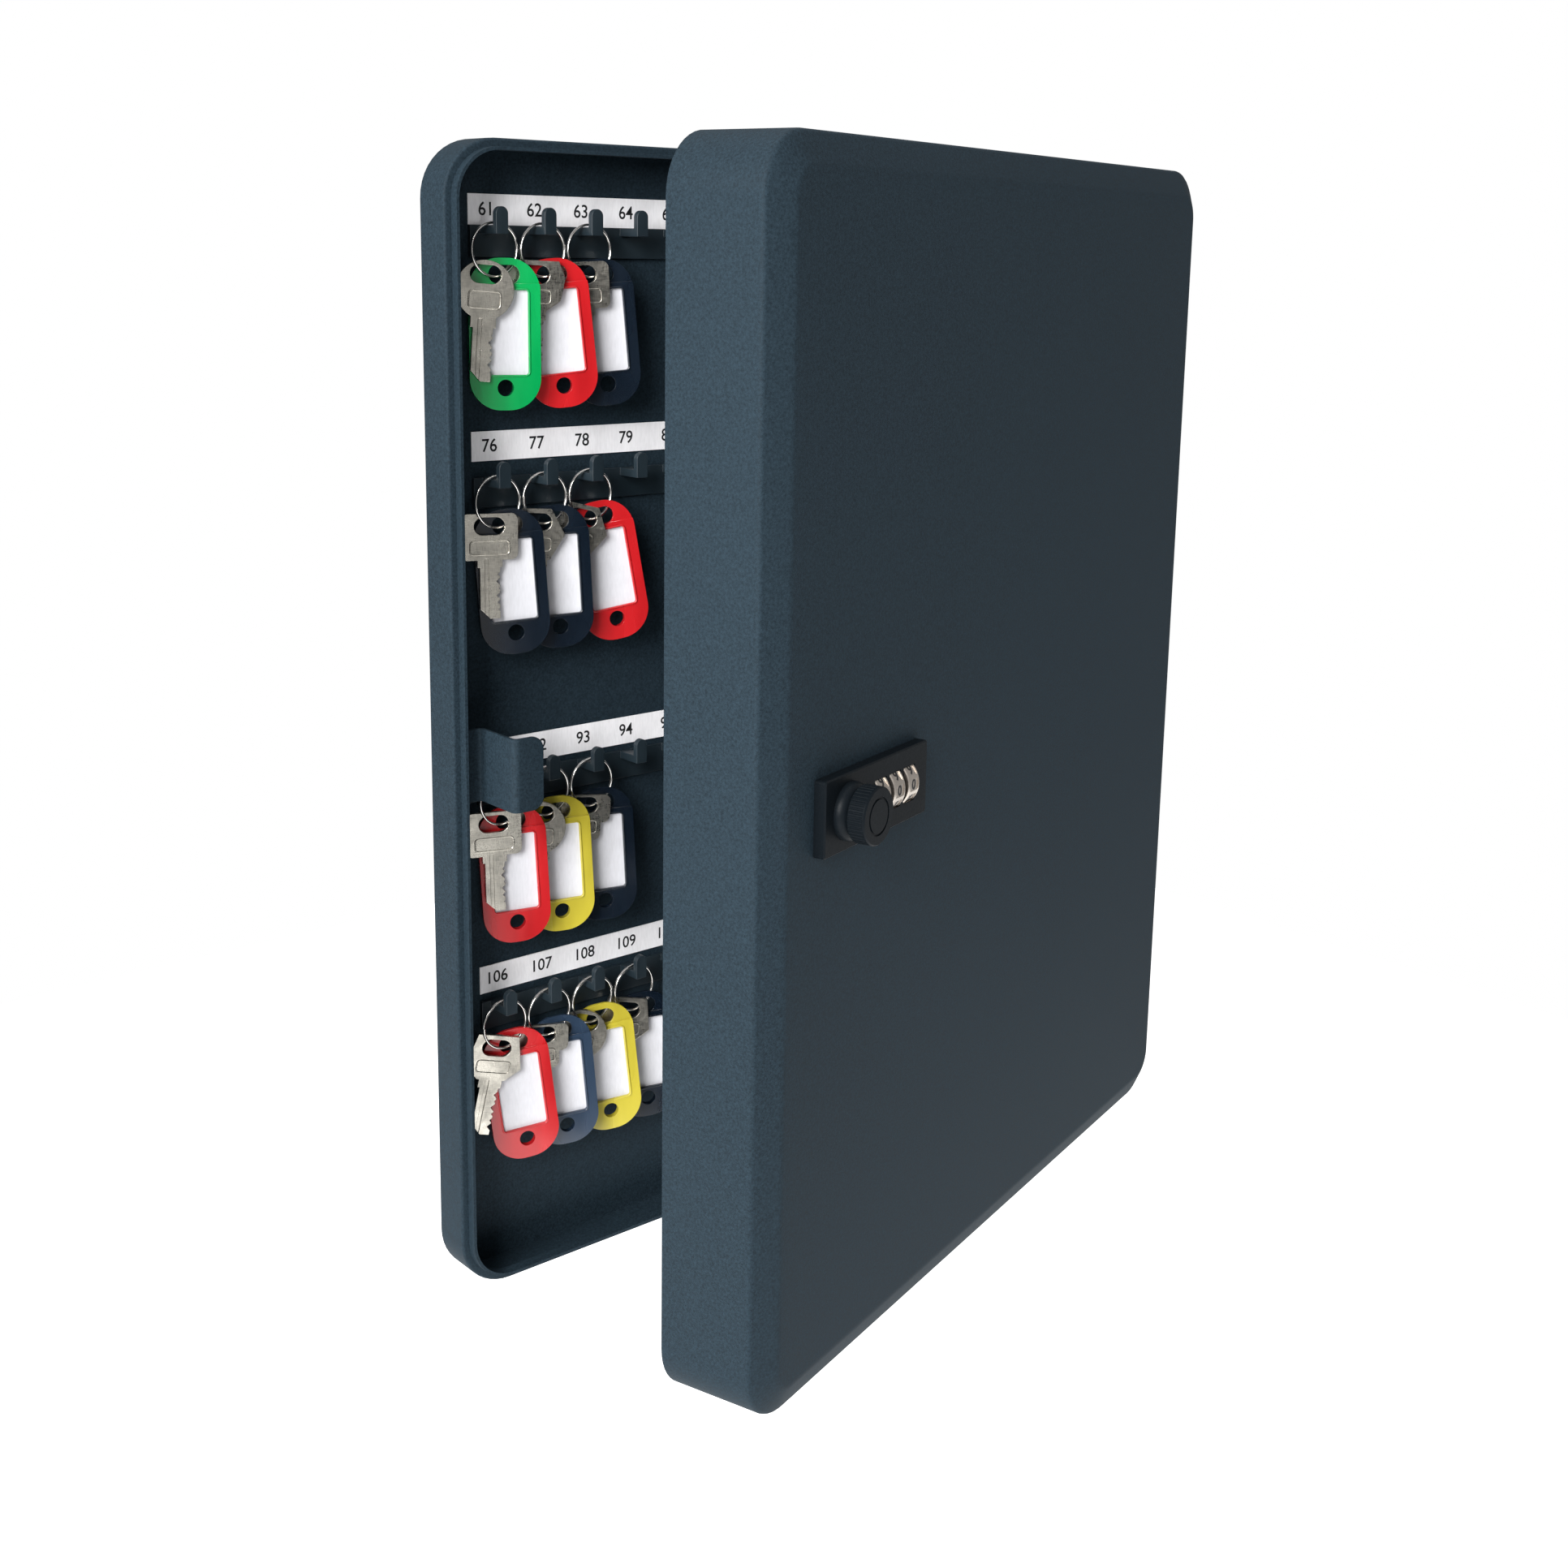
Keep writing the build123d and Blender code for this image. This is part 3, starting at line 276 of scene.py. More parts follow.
class CabinetColours(bpy.types.PropertyGroup):
    """Colours of the finishes."""

    paint: bpy.props.FloatVectorProperty(
        name="Paint", description="Powder coat of the case and door",
        default=(0.0132, 0.0232, 0.0318), size=3, subtype="COLOR", min=0.0, max=1.0,
    )
    hook_plastic: bpy.props.FloatVectorProperty(
        name="Hook strips", description="Moulded hook strips",
        default=(0.010, 0.018, 0.024), size=3, subtype="COLOR", min=0.0, max=1.0,
    )
    label_paper: bpy.props.FloatVectorProperty(
        name="Labels", description="Number strips",
        default=(0.96, 0.95, 0.97), size=3, subtype="COLOR", min=0.0, max=1.0,
    )
    white_card: bpy.props.FloatVectorProperty(
        name="Cards", description="Cards in the tags' windows",
        default=(0.60, 0.60, 0.63), size=3, subtype="COLOR", min=0.0, max=1.0,
    )
    black_ink: bpy.props.FloatVectorProperty(
        name="Ink", description="Printed numbers and dial digits",
        default=(0.012, 0.012, 0.014), size=3, subtype="COLOR", min=0.0, max=1.0,
    )
    zinc_plate: bpy.props.FloatVectorProperty(
        name="Zinc plate", description="Hinges, rivets, screws, spindle and cam",
        default=(0.40, 0.41, 0.42), size=3, subtype="COLOR", min=0.0, max=1.0,
    )
    cast_zinc: bpy.props.FloatVectorProperty(
        name="Cast zinc", description="Housing of the lock",
        default=(0.30, 0.30, 0.31), size=3, subtype="COLOR", min=0.0, max=1.0,
    )
    dial_nickel: bpy.props.FloatVectorProperty(
        name="Dial nickel", description="Dial wheels",
        default=(0.50, 0.45, 0.40), size=3, subtype="COLOR", min=0.0, max=1.0,
    )
    ring_nickel: bpy.props.FloatVectorProperty(
        name="Ring nickel", description="Wire of the split rings",
        default=(0.78, 0.76, 0.73), size=3, subtype="COLOR", min=0.0, max=1.0,
    )
    # Colour of the keys' plating, whose dark patches are partly wear and partly painted reflection.
    worn_key_nickel: bpy.props.FloatVectorProperty(
        name="Key nickel", description="Worn plating of the keys",
        default=(0.62, 0.59, 0.52), size=3, subtype="COLOR", min=0.0, max=1.0,
    )
    lock: bpy.props.FloatVectorProperty(
        name="Lock", description="Plate, collar and knob of the lock",
        default=(0.0042, 0.0062, 0.0082), size=3, subtype="COLOR", min=0.0, max=1.0,
    )
    tag_red: bpy.props.FloatVectorProperty(
        name="Red tags", description="Red tag plastic",
        default=(0.43, 0.010, 0.013), size=3, subtype="COLOR", min=0.0, max=1.0,
    )
    tag_green: bpy.props.FloatVectorProperty(
        name="Green tags", description="Green tag plastic",
        default=(0.0, 0.28, 0.065), size=3, subtype="COLOR", min=0.0, max=1.0,
    )
    tag_yellow: bpy.props.FloatVectorProperty(
        name="Yellow tags", description="Yellow tag plastic",
        default=(0.44, 0.37, 0.035), size=3, subtype="COLOR", min=0.0, max=1.0,
    )
    tag_blue: bpy.props.FloatVectorProperty(
        name="Blue tags", description="Blue-grey tag plastic",
        default=(0.018, 0.034, 0.062), size=3, subtype="COLOR", min=0.0, max=1.0,
    )
    tag_black: bpy.props.FloatVectorProperty(
        name="Black tags", description="Smoke-black tag plastic",
        default=(0.006, 0.012, 0.022), size=3, subtype="COLOR", min=0.0, max=1.0,
    )


class CabinetStage(bpy.types.PropertyGroup):
    """Camera and lights."""

    lens: bpy.props.FloatProperty(
        name="Lens", description="Focal length of the camera",
        default=44.48, min=10.0, subtype="DISTANCE_CAMERA", unit="CAMERA",
    )
    side_power: bpy.props.FloatProperty(
        name="Side light", description="Power of the soft light on the left",
        default=66.0, min=0.0, subtype="POWER", unit="POWER",
    )
    top_power: bpy.props.FloatProperty(
        name="Top light", description="Power of the soft light overhead",
        default=8.0, min=0.0, subtype="POWER", unit="POWER",
    )
    surround: bpy.props.FloatProperty(
        name="Surround", description="Light that the white surround gives, as a share of its whiteness",
        default=0.5, min=0.0, max=1.0, subtype="FACTOR",
    )


# ---------------------------------------------------------------- shader expressions


class Signal:
    """One socket of a finish's node tree, on which Python expressions work as Math nodes."""

    def __init__(self, finish, socket):
        self.finish = finish
        self.socket = socket

    def _math(self, operation, first, second):
        return self.finish.node("ShaderNodeMath", {"operation": operation}, {0: first, 1: second})

    def __add__(self, other):
        return self._math("ADD", self, other)

    def __radd__(self, other):
        return self._math("ADD", other, self)

    def __mul__(self, other):
        return self._math("MULTIPLY", self, other)

    def __rmul__(self, other):
        return self._math("MULTIPLY", other, self)


class Finish:
    """A material whose surface is one Principled shader, with helpers for its patterns."""

    def __init__(self, name, **fixed):
        self.material = bpy.data.materials.new(name)
        self.material.use_nodes = True
        self.tree = self.material.node_tree
        self.surface = self.tree.nodes["Principled BSDF"]
        for socket, value in fixed.items():
            self.surface.inputs[socket.replace("_", " ")].default_value = value
        self.place = self.node("ShaderNodeTexCoord", output="Object")

    def node(self, kind, settings=None, inputs=None, output=0):
        """Adds a node: settings first, then values or links for its inputs. Returns one output."""
        made = self.tree.nodes.new(kind)
        for name, value in (settings or {}).items():
            setattr(made, name, value)
        for key, value in (inputs or {}).items():
            self.plug(made.inputs[key], value)
        return Signal(self, made.outputs[output])

    def plug(self, socket, value):
        """Links a signal to the socket, or sets a value on it."""
        if isinstance(value, Signal):
            self.tree.links.new(value.socket, socket)
        else:
            socket.default_value = value

    def ramp(self, signal, low, high, start=0.0, end=1.0):
        """The signal's low..high taken to start..end, and held there beyond them."""
        inputs = {"Value": signal, "From Min": low, "From Max": high, "To Min": start, "To Max": end}
        return self.node("ShaderNodeMapRange", {"clamp": True}, inputs)

    def stretched(self, scale, turn=(0.0, 0.0, 0.0)):
        """The place on the piece, scaled along each axis and turned."""
        return self.node(
            "ShaderNodeMapping", None, {"Vector": self.place, "Scale": scale, "Rotation": turn}
        )

    def noise(self, scale, detail=2.0, roughness=0.5, where=None):
        """Noise from about 0.3 to 0.7, with the scale's repeats in a metre."""
        inputs = {
            "Vector": where or self.place, "Scale": scale, "Detail": detail, "Roughness": roughness,
        }
        return self.node("ShaderNodeTexNoise", None, inputs)

    def blend(self, factor, first, second):
        """Colour that goes from first to second with the factor."""
        inputs = {0: factor, 6: opaque(first), 7: opaque(second)}
        return self.node("ShaderNodeMix", {"data_type": "RGBA"}, inputs, output=2)

    def bump(self, height, strength, relief):
        """Raises the surface by the height, whose full range is the relief in millimetres."""
        inputs = {"Height": height, "Strength": strength, "Distance": relief * MM}
        self.plug(self.surface.inputs["Normal"], self.node("ShaderNodeBump", None, inputs))

    def set(self, **varying):
        """Gives the shader's sockets their signals."""
        for socket, value in varying.items():
            self.plug(self.surface.inputs[socket.replace("_", " ")], value)


def opaque(colour):
    """A colour with full alpha, or the signal as it is."""
    return colour if isinstance(colour, Signal) else (*tuple(colour)[:3], 1.0)


def shade(colour, share):
    """The colour made darker or lighter by a share."""
    return tuple(min(1.0, channel * share) for channel in tuple(colour)[:3])


FINISHES = {}


def finish_named(name, make):
    """The finish of that name, made once."""
    if name not in FINISHES:
        FINISHES[name] = make(name).material
    return FINISHES[name]


def grey_blue_powder_coat(name):
    """Fine-grained powder coat: grain and speck in colour and height, with faint cloudiness."""
    grain_size = bpy.context.scene.cabinet_sizes.paint_grain
    colour = bpy.context.scene.cabinet_colours.paint
    finish = Finish(name, Specular_IOR_Level=0.09)
    grain = finish.noise(1.0 / grain_size, detail=3.0, roughness=0.62)
    speck = finish.noise(SPECK_FINENESS / grain_size, detail=1.0)
    cloud = finish.noise(PAINT_CLOUDS, detail=3.0)
    tone = finish.ramp(grain * 0.75 + speck * 0.25, low=0.33, high=0.67)
    grained = finish.blend(tone, shade(colour, 0.62), shade(colour, 1.5))
    cloudy = finish.ramp(cloud, low=0.35, high=0.7, end=0.22)
    finish.set(
        Base_Color=finish.blend(cloudy, grained, shade(colour, 1.25)),
        Roughness=finish.ramp(grain, low=0.3, high=0.7, start=0.58, end=0.74),
    )
    finish.bump(grain * 0.7 + speck * 0.3, strength=0.42, relief=PAINT_RELIEF)
    return finish


def satin_black_lock_paint(name):
    """Satin black paint on cast metal: a fine orange peel and lighter rubbed specks."""
    colour = bpy.context.scene.cabinet_colours.lock
    finish = Finish(name, Specular_IOR_Level=0.08)
    peel = finish.noise(ORANGE_PEEL)
    rub = finish.ramp(finish.noise(RUBBED_SPECKS, detail=4.0, roughness=0.7), low=0.62, high=0.78)
    finish.set(
        Base_Color=finish.blend(rub * 0.5, colour, shade(colour, 3.0)),
        Roughness=finish.ramp(peel, low=0.3, high=0.7, start=0.36, end=0.48),
    )
    finish.bump(peel, strength=0.2, relief=PEEL_RELIEF)
    return finish


def moulded(name, colour, roughness, **fixed):
    """Moulded plastic: a fine mould texture, faint flow marks and small colour changes."""
    finish = Finish(name, **fixed)
    flow = finish.noise(FLOW_MARKS, where=finish.stretched((1.0, 1.0, 0.25)))
    texture = finish.noise(MOULD_TEXTURE, detail=1.0)
    tone = finish.ramp(flow, low=0.35, high=0.65)
    finish.set(
        Base_Color=finish.blend(tone, shade(colour, 0.86), shade(colour, 1.14)),
        Roughness=finish.ramp(flow, low=0.3, high=0.7, start=roughness - 0.06, end=roughness + 0.08),
    )
    finish.bump(texture * 0.6 + flow * 0.4, strength=0.12, relief=MOULD_RELIEF)
    return finish


def paint():
    return finish_named("grey_blue_powder_coat", grey_blue_powder_coat)


def lock_black():
    return finish_named("satin_black_lock_paint", satin_black_lock_paint)


def hook_plastic():
    colour = bpy.context.scene.cabinet_colours.hook_plastic
    return finish_named("hook_plastic", lambda name: moulded(name, colour, roughness=0.42))


def tag_plastic(tag):
    """Glossy translucent plastic of one tag colour. The smoke black lets light through."""
    colour = getattr(bpy.context.scene.cabinet_colours, tag)
    clear = 0.35 if tag == "tag_black" else 0.0
    scatter = 0.6 * MM

    def make(name):
        return moulded(
            name, colour, roughness=0.24, Coat_Weight=0.35, Coat_Roughness=0.12,
            Transmission_Weight=clear, Subsurface_Weight=0.15, Subsurface_Radius=(scatter,) * 3,
        )

    return finish_named(tag + "_plastic", make)


def plated(metal):
    """Plated metal: fine scratches two ways, dull stained patches and shallow dents. On the keys the
    strong dark patches are partly wear and partly painted reflection.
    """
    roughness, scratching, stain_and_painted_reflection, patches, relief = PLATED_METALS[metal]
    colour = getattr(bpy.context.scene.cabinet_colours, metal)

    def make(name):
        finish = Finish(name, Metallic=1.0)
        upright = finish.noise(SCRATCHES, where=finish.stretched((1.0, 1.0, 9.0), (0.3, 0.5, 0.2)))
        level = finish.noise(SCRATCHES, where=finish.stretched((9.0, 1.0, 1.0), (0.1, 0.6, 0.9)))
        patch = finish.noise(patches, detail=4.0, roughness=0.6)
        lines = finish.ramp(upright * 0.5 + level * 0.5, low=0.4, high=0.6)
        dull = finish.ramp(patch, low=0.42, high=0.66)
        # Darker patches: stains, and on the keys also painted reflection.
        stain_and_painted_reflection_colour = finish.blend(dull * stain_and_painted_reflection, colour, shade(colour, 0.45))
        finish.set(
            Base_Color=finish.blend(lines * (0.4 * scratching), stain_and_painted_reflection_colour, shade(colour, 1.3)),
            Roughness=roughness + dull * 0.14 + lines * (0.1 * scratching),
        )
        finish.bump(lines * 0.2 + patch * 0.8, strength=0.25 * scratching, relief=relief)
        return finish

    return finish_named(metal, make)


def paper(kind):
    """Paper, or print on it: short fibres along it and a faint mottle."""
    roughness = PAPERS[kind]
    colour = getattr(bpy.context.scene.cabinet_colours, kind)

    def make(name):
        finish = Finish(name, Specular_IOR_Level=0.3)
        fibres = finish.noise(PAPER_FIBRES, where=finish.stretched((1.0, 1.0, 0.2), (0.0, 0.5, 0.0)))
        mottle = finish.noise(PAPER_MOTTLE, detail=3.0)
        tone = finish.ramp(fibres * 0.6 + mottle * 0.4, low=0.35, high=0.65)
        finish.set(
            Base_Color=finish.blend(tone, shade(colour, 0.93), shade(colour, 1.03)),
            Roughness=finish.ramp(
                fibres, low=0.3, high=0.7, start=roughness - 0.08, end=roughness + 0.08,
            ),
        )
        finish.bump(fibres, strength=0.15, relief=FIBRE_RELIEF)
        return finish

    return finish_named(kind, make)


# ---------------------------------------------------------------- shapes


def coat(node, material):
    """Gives a CAD node its finish."""
    slots = frame["nodes"][node].data.materials
    slots.clear()
    slots.append(material)


def add_piece(mesh, name, material, body):
    """Links a finished mesh as a piece at the origin, riding on its body."""
    mesh.materials.clear()
    mesh.materials.append(material)
    piece = bpy.data.objects.new(name, mesh)
    bpy.context.scene.collection.objects.link(piece)
    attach(piece, body)
    return piece


def body_of_node(node):
    """The body that a CAD node rides on."""
    return frame["nodes"][node]["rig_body"]


def softened(node, material, width):
    """Puts a CAD node's surface, with its triangles merged and its sharp edges rounded, in its place."""
    source = frame["nodes"][node].data
    places = np.empty(len(source.vertices) * 3, np.float32)
    source.vertices.foreach_get("co", places)
    corners = np.empty(len(source.loops), np.int32)
    source.loops.foreach_get("vertex_index", corners)
    mesh = bpy.data.meshes.new(node + "_soft")
    mesh.from_pydata(places.reshape(-1, 3), [], corners.reshape(-1, 3))
    work = bmesh.new()
    work.from_mesh(mesh)
    bmesh.ops.remove_doubles(work, verts=work.verts, dist=WELD)
    bmesh.ops.dissolve_limit(work, angle_limit=FLAT_ANGLE, verts=work.verts, edges=work.edges)
    work.to_mesh(mesh)
    work.free()
    mesh.shade_smooth()
    mesh.set_sharp_from_angle(angle=SHARP_ANGLE)
    piece = add_piece(mesh, node + "_soft", material, body_of_node(node))
    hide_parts(node)
    edge = piece.modifiers.new("soft_edge", "BEVEL")
    edge.width = width
    edge.segments = EDGE_SEGMENTS
    edge.limit_method = "ANGLE"
    edge.angle_limit = SHARP_ANGLE
    edge.harden_normals = True
    edge.miter_outer = "MITER_ARC"


def grid_mesh(name, grids, wrap_along=False):
    """One closed mesh from tubes: each grid is rows of points round the tube, joined row to row.

    The rows wrap round. A tube that isn't wrapped along its length is closed by a face on each end.
    """
    grids = np.asarray(grids, float)
    tubes, rows, around, axes = grids.shape
    index = np.arange(tubes * rows * around).reshape(tubes, rows, around)
    after = np.roll(index, -1, axis=2)
    if wrap_along:
        ahead, ahead_after = np.roll(index, -1, axis=1), np.roll(after, -1, axis=1)
        quads = np.stack([index, after, ahead_after, ahead], axis=-1).reshape(-1, 4).tolist()
        ends = []
    else:
        here, here_after = index[:, :-1], after[:, :-1]
        ahead, ahead_after = index[:, 1:], after[:, 1:]
        quads = np.stack([here, here_after, ahead_after, ahead], axis=-1).reshape(-1, 4).tolist()
        ends = index[:, 0, ::-1].tolist() + index[:, -1, :].tolist()
    mesh = bpy.data.meshes.new(name)
    mesh.from_pydata(grids.reshape(-1, axes), [], quads + ends)
    work = bmesh.new()
    work.from_mesh(mesh)
    bmesh.ops.recalc_face_normals(work, faces=work.faces)
    work.to_mesh(mesh)
    work.free()
    mesh.shade_smooth()
    mesh.set_sharp_from_angle(angle=FOLD_ANGLE)
    return mesh


def on_door():
    """Matrix that turns a place given with the door shut to the door's resting place."""
    pivot = Vector(HINGE["pos_m"])
    return Matrix.Translation(pivot) @ Matrix.Rotation(DOOR_ANGLE, 4, "Z") @ Matrix.Translation(-pivot)


def facing(place, right, up, out):
    """Matrix that sets flat lettering at a place, from the ways it reads, stands and faces."""
    turned = Matrix((right, up, out)).transposed().to_4x4()
    return Matrix.Translation(Vector(place)) @ turned


def hook_x(index):
    """Middle of a hook in millimetres, counted from the left."""
    return FIRST_HOOK_X + HOOK_PITCH * index


def label_middle(row, lift):
    """Height of a label strip's middle in metres, over the base of its row of hooks."""
    return (row + lift + LABEL_HEIGHT / 2) * MM


def eye_frames(sets, side):
    """Places and axes of hanging pieces, as arrays (set, 3): eye, right, up and front.

    The eye lies on the ring, an angle away from its lowest point to one side: +1 is right and -1 is left.
    Right is turned about Z by the yaw and lifted by the tilt, front is level, and up is across both.
    """
    hook = np.array([hook_x(entry[1]) for entry in sets])
    row = np.array([CASE_ROWS[entry[0]] for entry in sets])
    tilt = np.radians([entry[4] if side > 0 else entry[5] for entry in sets])
    level = np.array((math.cos(SET_YAW), math.sin(SET_YAW), 0.0))
    eye = np.stack([
        hook + side * RING_R * math.sin(EYE_ANGLE),
        np.full(len(sets), RING_Y),
        row + RING_RISE - RING_R * math.cos(EYE_ANGLE),
    ], axis=1)
    right = np.cos(tilt)[:, None] * level + np.sin(tilt)[:, None] * np.array((0.0, 0.0, 1.0))
    front = np.tile((math.sin(SET_YAW), -math.cos(SET_YAW), 0.0), (len(sets), 1))
    return eye, right, np.cross(front, right), front


def raised_loop(sets, side, drop, width, height, corner, level, wire):
    """Round-wire loops on flat pieces: tubes carried along a rounded rectangle.

    The path is the rectangle (width, height) whose corners are quarter circles of radius corner, met at
    equal steps of angle. The tube's section is a circle of radius wire in the plane of the path's outward
    direction and the piece's front. The loop lies at the level in front of the piece's middle plane.
    """
    quarter = np.linspace(0.0, math.pi / 2, CORNER_STEPS)
    angle = np.concatenate([corner_turn * math.pi / 2 + quarter for corner_turn in range(4)])
    sign = np.repeat(np.array([(1, 1), (-1, 1), (-1, -1), (1, -1)], float), CORNER_STEPS, axis=0)
    outward = np.stack([np.cos(angle), np.sin(angle)], axis=1)
    path = sign * (width / 2 - corner, height / 2 - corner) + corner * outward + (0.0, drop)
    around = np.linspace(0.0, 2 * math.pi, LOOP_STEPS_AROUND, endpoint=False)
    flat = path[:, None, :] + wire * np.cos(around)[None, :, None] * outward[:, None, :]
    lift = np.broadcast_to(level + wire * np.sin(around), flat.shape[:2])
    eye, right, up, front = eye_frames(sets, side)
    placed = (
        eye[:, None, None, :]
        + flat[None, :, :, 0, None] * right[:, None, None, :]
        + flat[None, :, :, 1, None] * up[:, None, None, :]
        + lift[None, :, :, None] * front[:, None, None, :]
    )
    return placed * MM


def lettering(name, words, height, depth, spread, body):
    """Flat printed words as one piece. Each word comes with the matrix that sets it in place.

    The height is in metres. The depth, to each side of the words' plane, and the spread, by which their
    outline is wider, are in millimetres.
    """
    work = bmesh.new()
    for text, matrix in words:
        curve = bpy.data.curves.new("word", "FONT")
        curve.body = text
        curve.size = height / DIGIT_SHARE
        curve.align_x = "CENTER"
        curve.align_y = "CENTER"
        curve.extrude = depth * MM
        curve.offset = spread * MM
        curve.resolution_u = LETTER_STEPS
        carrier = bpy.data.objects.new("word", curve)
        bpy.context.scene.collection.objects.link(carrier)
        graph = bpy.context.evaluated_depsgraph_get()
        mesh = bpy.data.meshes.new_from_object(carrier.evaluated_get(graph))
        mesh.transform(matrix)
        work.from_mesh(mesh)
        bpy.data.objects.remove(carrier)
        bpy.data.curves.remove(curve)
        bpy.data.meshes.remove(mesh)
    bmesh.ops.remove_doubles(work, verts=work.verts, dist=WELD)
    mesh = bpy.data.meshes.new(name)
    work.to_mesh(mesh)
    work.free()
    add_piece(mesh, name, paper("black_ink"), body)


# ---------------------------------------------------------------- operators


class CABINET_OT_sheets(bpy.types.Operator):
    """Paint the case tray, the door tray and the latch bracket."""

    bl_idname = "cabinet.sheets"
    bl_label = "Case and door sheets"

    def execute(self, context):
        width = context.scene.cabinet_sizes.sheet_edge
        for node in ("back_tray", "door_tray", "latch_bracket"):
            softened(node, paint(), width)
        return {"FINISHED"}


class CABINET_OT_hinges(bpy.types.Operator):
    """Finish the hinge leaves, pins and rivets."""

    bl_idname = "cabinet.hinges"
    bl_label = "Hinges"

    def execute(self, context):
        coat("hinge_pins", plated("zinc_plate"))
        for side in ("case", "door"):
            coat(f"hinge_leaves_{side}", plated("zinc_plate"))
            coat(f"hinge_rivets_{side}", plated("zinc_plate"))
        return {"FINISHED"}


class CABINET_OT_hooks(bpy.types.Operator):
    """Finish the moulded hook strips."""

    bl_idname = "cabinet.hooks"
    bl_label = "Hook strips"

    def execute(self, context):
        width = context.scene.cabinet_sizes.moulded_edge
        for side in ("case", "door"):
            for number in range(1, len(CASE_ROWS) + 1):
                softened(f"hook_strip_{side}_{number}", hook_plastic(), width)
        return {"FINISHED"}


class CABINET_OT_labels(bpy.types.Operator):
    """Finish the label strips and print their running numbers."""

    bl_idname = "cabinet.labels"
    bl_label = "Number labels"

    def execute(self, context):
        sizes = context.scene.cabinet_sizes
        for index, row in enumerate(CASE_ROWS):
            height = label_middle(row, CASE_LABEL_LIFTS[index])
            words = []
            for hook in range(HOOK_COUNT):
                place = (hook_x(hook) * MM + sizes.number_aside, CASE_LABEL_Y * MM, height)
                number = FIRST_CASE_NUMBER + index * HOOK_COUNT + hook
                words.append((str(number), facing(place, (1, 0, 0), (0, 0, 1), (0, -1, 0))))
            lettering(f"numbers_case_{index + 1}", words, sizes.number_height, CASE_PRINT_DEPTH,
                      CASE_PRINT_SPREAD, "case")
            coat(f"number_label_case_{index + 1}", paper("label_paper"))
        for index, row in enumerate(DOOR_ROWS):
            height = label_middle(row, DOOR_LABEL_LIFT)
            words = []
            for hook in range(HOOK_COUNT):
                place = (hook_x(hook) * MM, DOOR_LABEL_Y * MM, height)
                number = (index + 1) * HOOK_COUNT - hook
                shut = facing(place, (-1, 0, 0), (0, 0, 1), (0, 1, 0))
                words.append((str(number), on_door() @ shut))
            lettering(f"numbers_door_{index + 1}", words, sizes.number_height, DOOR_PRINT_DEPTH,
                      DOOR_PRINT_SPREAD, "door")
            coat(f"number_label_door_{index + 1}", paper("label_paper"))
        return {"FINISHED"}


class CABINET_OT_lock(bpy.types.Operator):
    """Finish the lock's plate, collar, knob, housing, cam and screws."""

    bl_idname = "cabinet.lock"
    bl_label = "Lock"

    def execute(self, context):
        width = context.scene.cabinet_sizes.moulded_edge
        softened("lock_plate", lock_black(), width)
        for node in ("knob_collar", "knob", "code_lever"):
            coat(node, lock_black())
        coat("lock_housing", plated("cast_zinc"))
        for node in ("lock_screws", "dial_axle", "spindle", "spindle_clip", "latch_cam", "cam_screw"):
            coat(node, plated("zinc_plate"))
        return {"FINISHED"}


class CABINET_OT_dials(bpy.types.Operator):
    """Finish the three dial wheels and set the digits 0 to 9 in their pockets."""

    bl_idname = "cabinet.dials"
    bl_label = "Dial wheels"

    def execute(self, context):
        sizes = context.scene.cabinet_sizes
        for wheel in range(DIAL_COUNT):
            coat(f"dial_wheel_{wheel + 1}", plated("dial_nickel"))
            middle = Vector((DIAL_X + (wheel - 1) * DIAL_PITCH, DIAL_Y, LOCK_Z)) * MM
            words = []
            for digit in range(DIGIT_COUNT):
                turn = Matrix.Rotation(digit * 2 * math.pi / DIGIT_COUNT, 3, "X")
                out = turn @ Vector((0, -1, 0))
                up = turn @ Vector((0, 0, 1))
                place = middle + out * POCKET_FLOOR_R * MM
                words.append((str(digit), on_door() @ facing(place, (1, 0, 0), up, out)))
            lettering(f"digits_{wheel + 1}", words, sizes.digit_height, DIGIT_DEPTH, DIGIT_SPREAD,
                      f"dial_{wheel + 1}")
        return {"FINISHED"}


class CABINET_OT_rings(bpy.types.Operator):
    """Wind the split rings that hang on the hooks."""

    bl_idname = "cabinet.rings"
    bl_label = "Split rings"

    def execute(self, context):
        wire = context.scene.cabinet_sizes.ring_wire
        piece = add_piece(split_rings(wire), "split_rings", plated("ring_nickel"), "case")
        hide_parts("key_rings")
        return {"FINISHED"}


def split_rings(wire):
    """Two-turn rings: a round wire carried along a helix of two turns.

    A centre line point is the ring's radius times (cos, sin) of an angle over almost two full turns, and
    its depth goes evenly from about one wire radius in front of the middle to one behind. The section is a
    circle in the plane of the outward direction and the depth. Each ring starts at its own angle, which
    grows with its row and its hook.
    """
    hooks = np.array([hook_x(entry[1]) for entry in KEY_SETS]) * MM
    rows = np.array([CASE_ROWS[entry[0]] for entry in KEY_SETS]) * MM
    start = np.array([
        RING_START + RING_START_ROW * entry[0] + RING_START_HOOK * entry[1] for entry in KEY_SETS
    ])
    along = np.linspace(0.0, 1.0, RING_STEPS_ALONG)
    angle = start[:, None] + along[None, :] * RING_SWEEP
    outward = np.stack([np.cos(angle), np.zeros_like(angle), np.sin(angle)], axis=-1)
    around = np.linspace(0.0, 2 * math.pi, RING_STEPS_AROUND, endpoint=False)
    radius = RING_R * MM + wire * np.cos(around)
    depth = (along[:, None] - 0.5) * WIRE_SPACING * wire + wire * np.sin(around)[None, :]
    points = outward[:, :, None, :] * radius[None, None, :, None]
    points[..., 1] += depth[None, :, :]
    centre = np.stack([hooks, np.full(len(hooks), RING_Y * MM), rows + RING_RISE * MM], axis=-1)
    return grid_mesh("split_rings", points + centre[:, None, None, :])


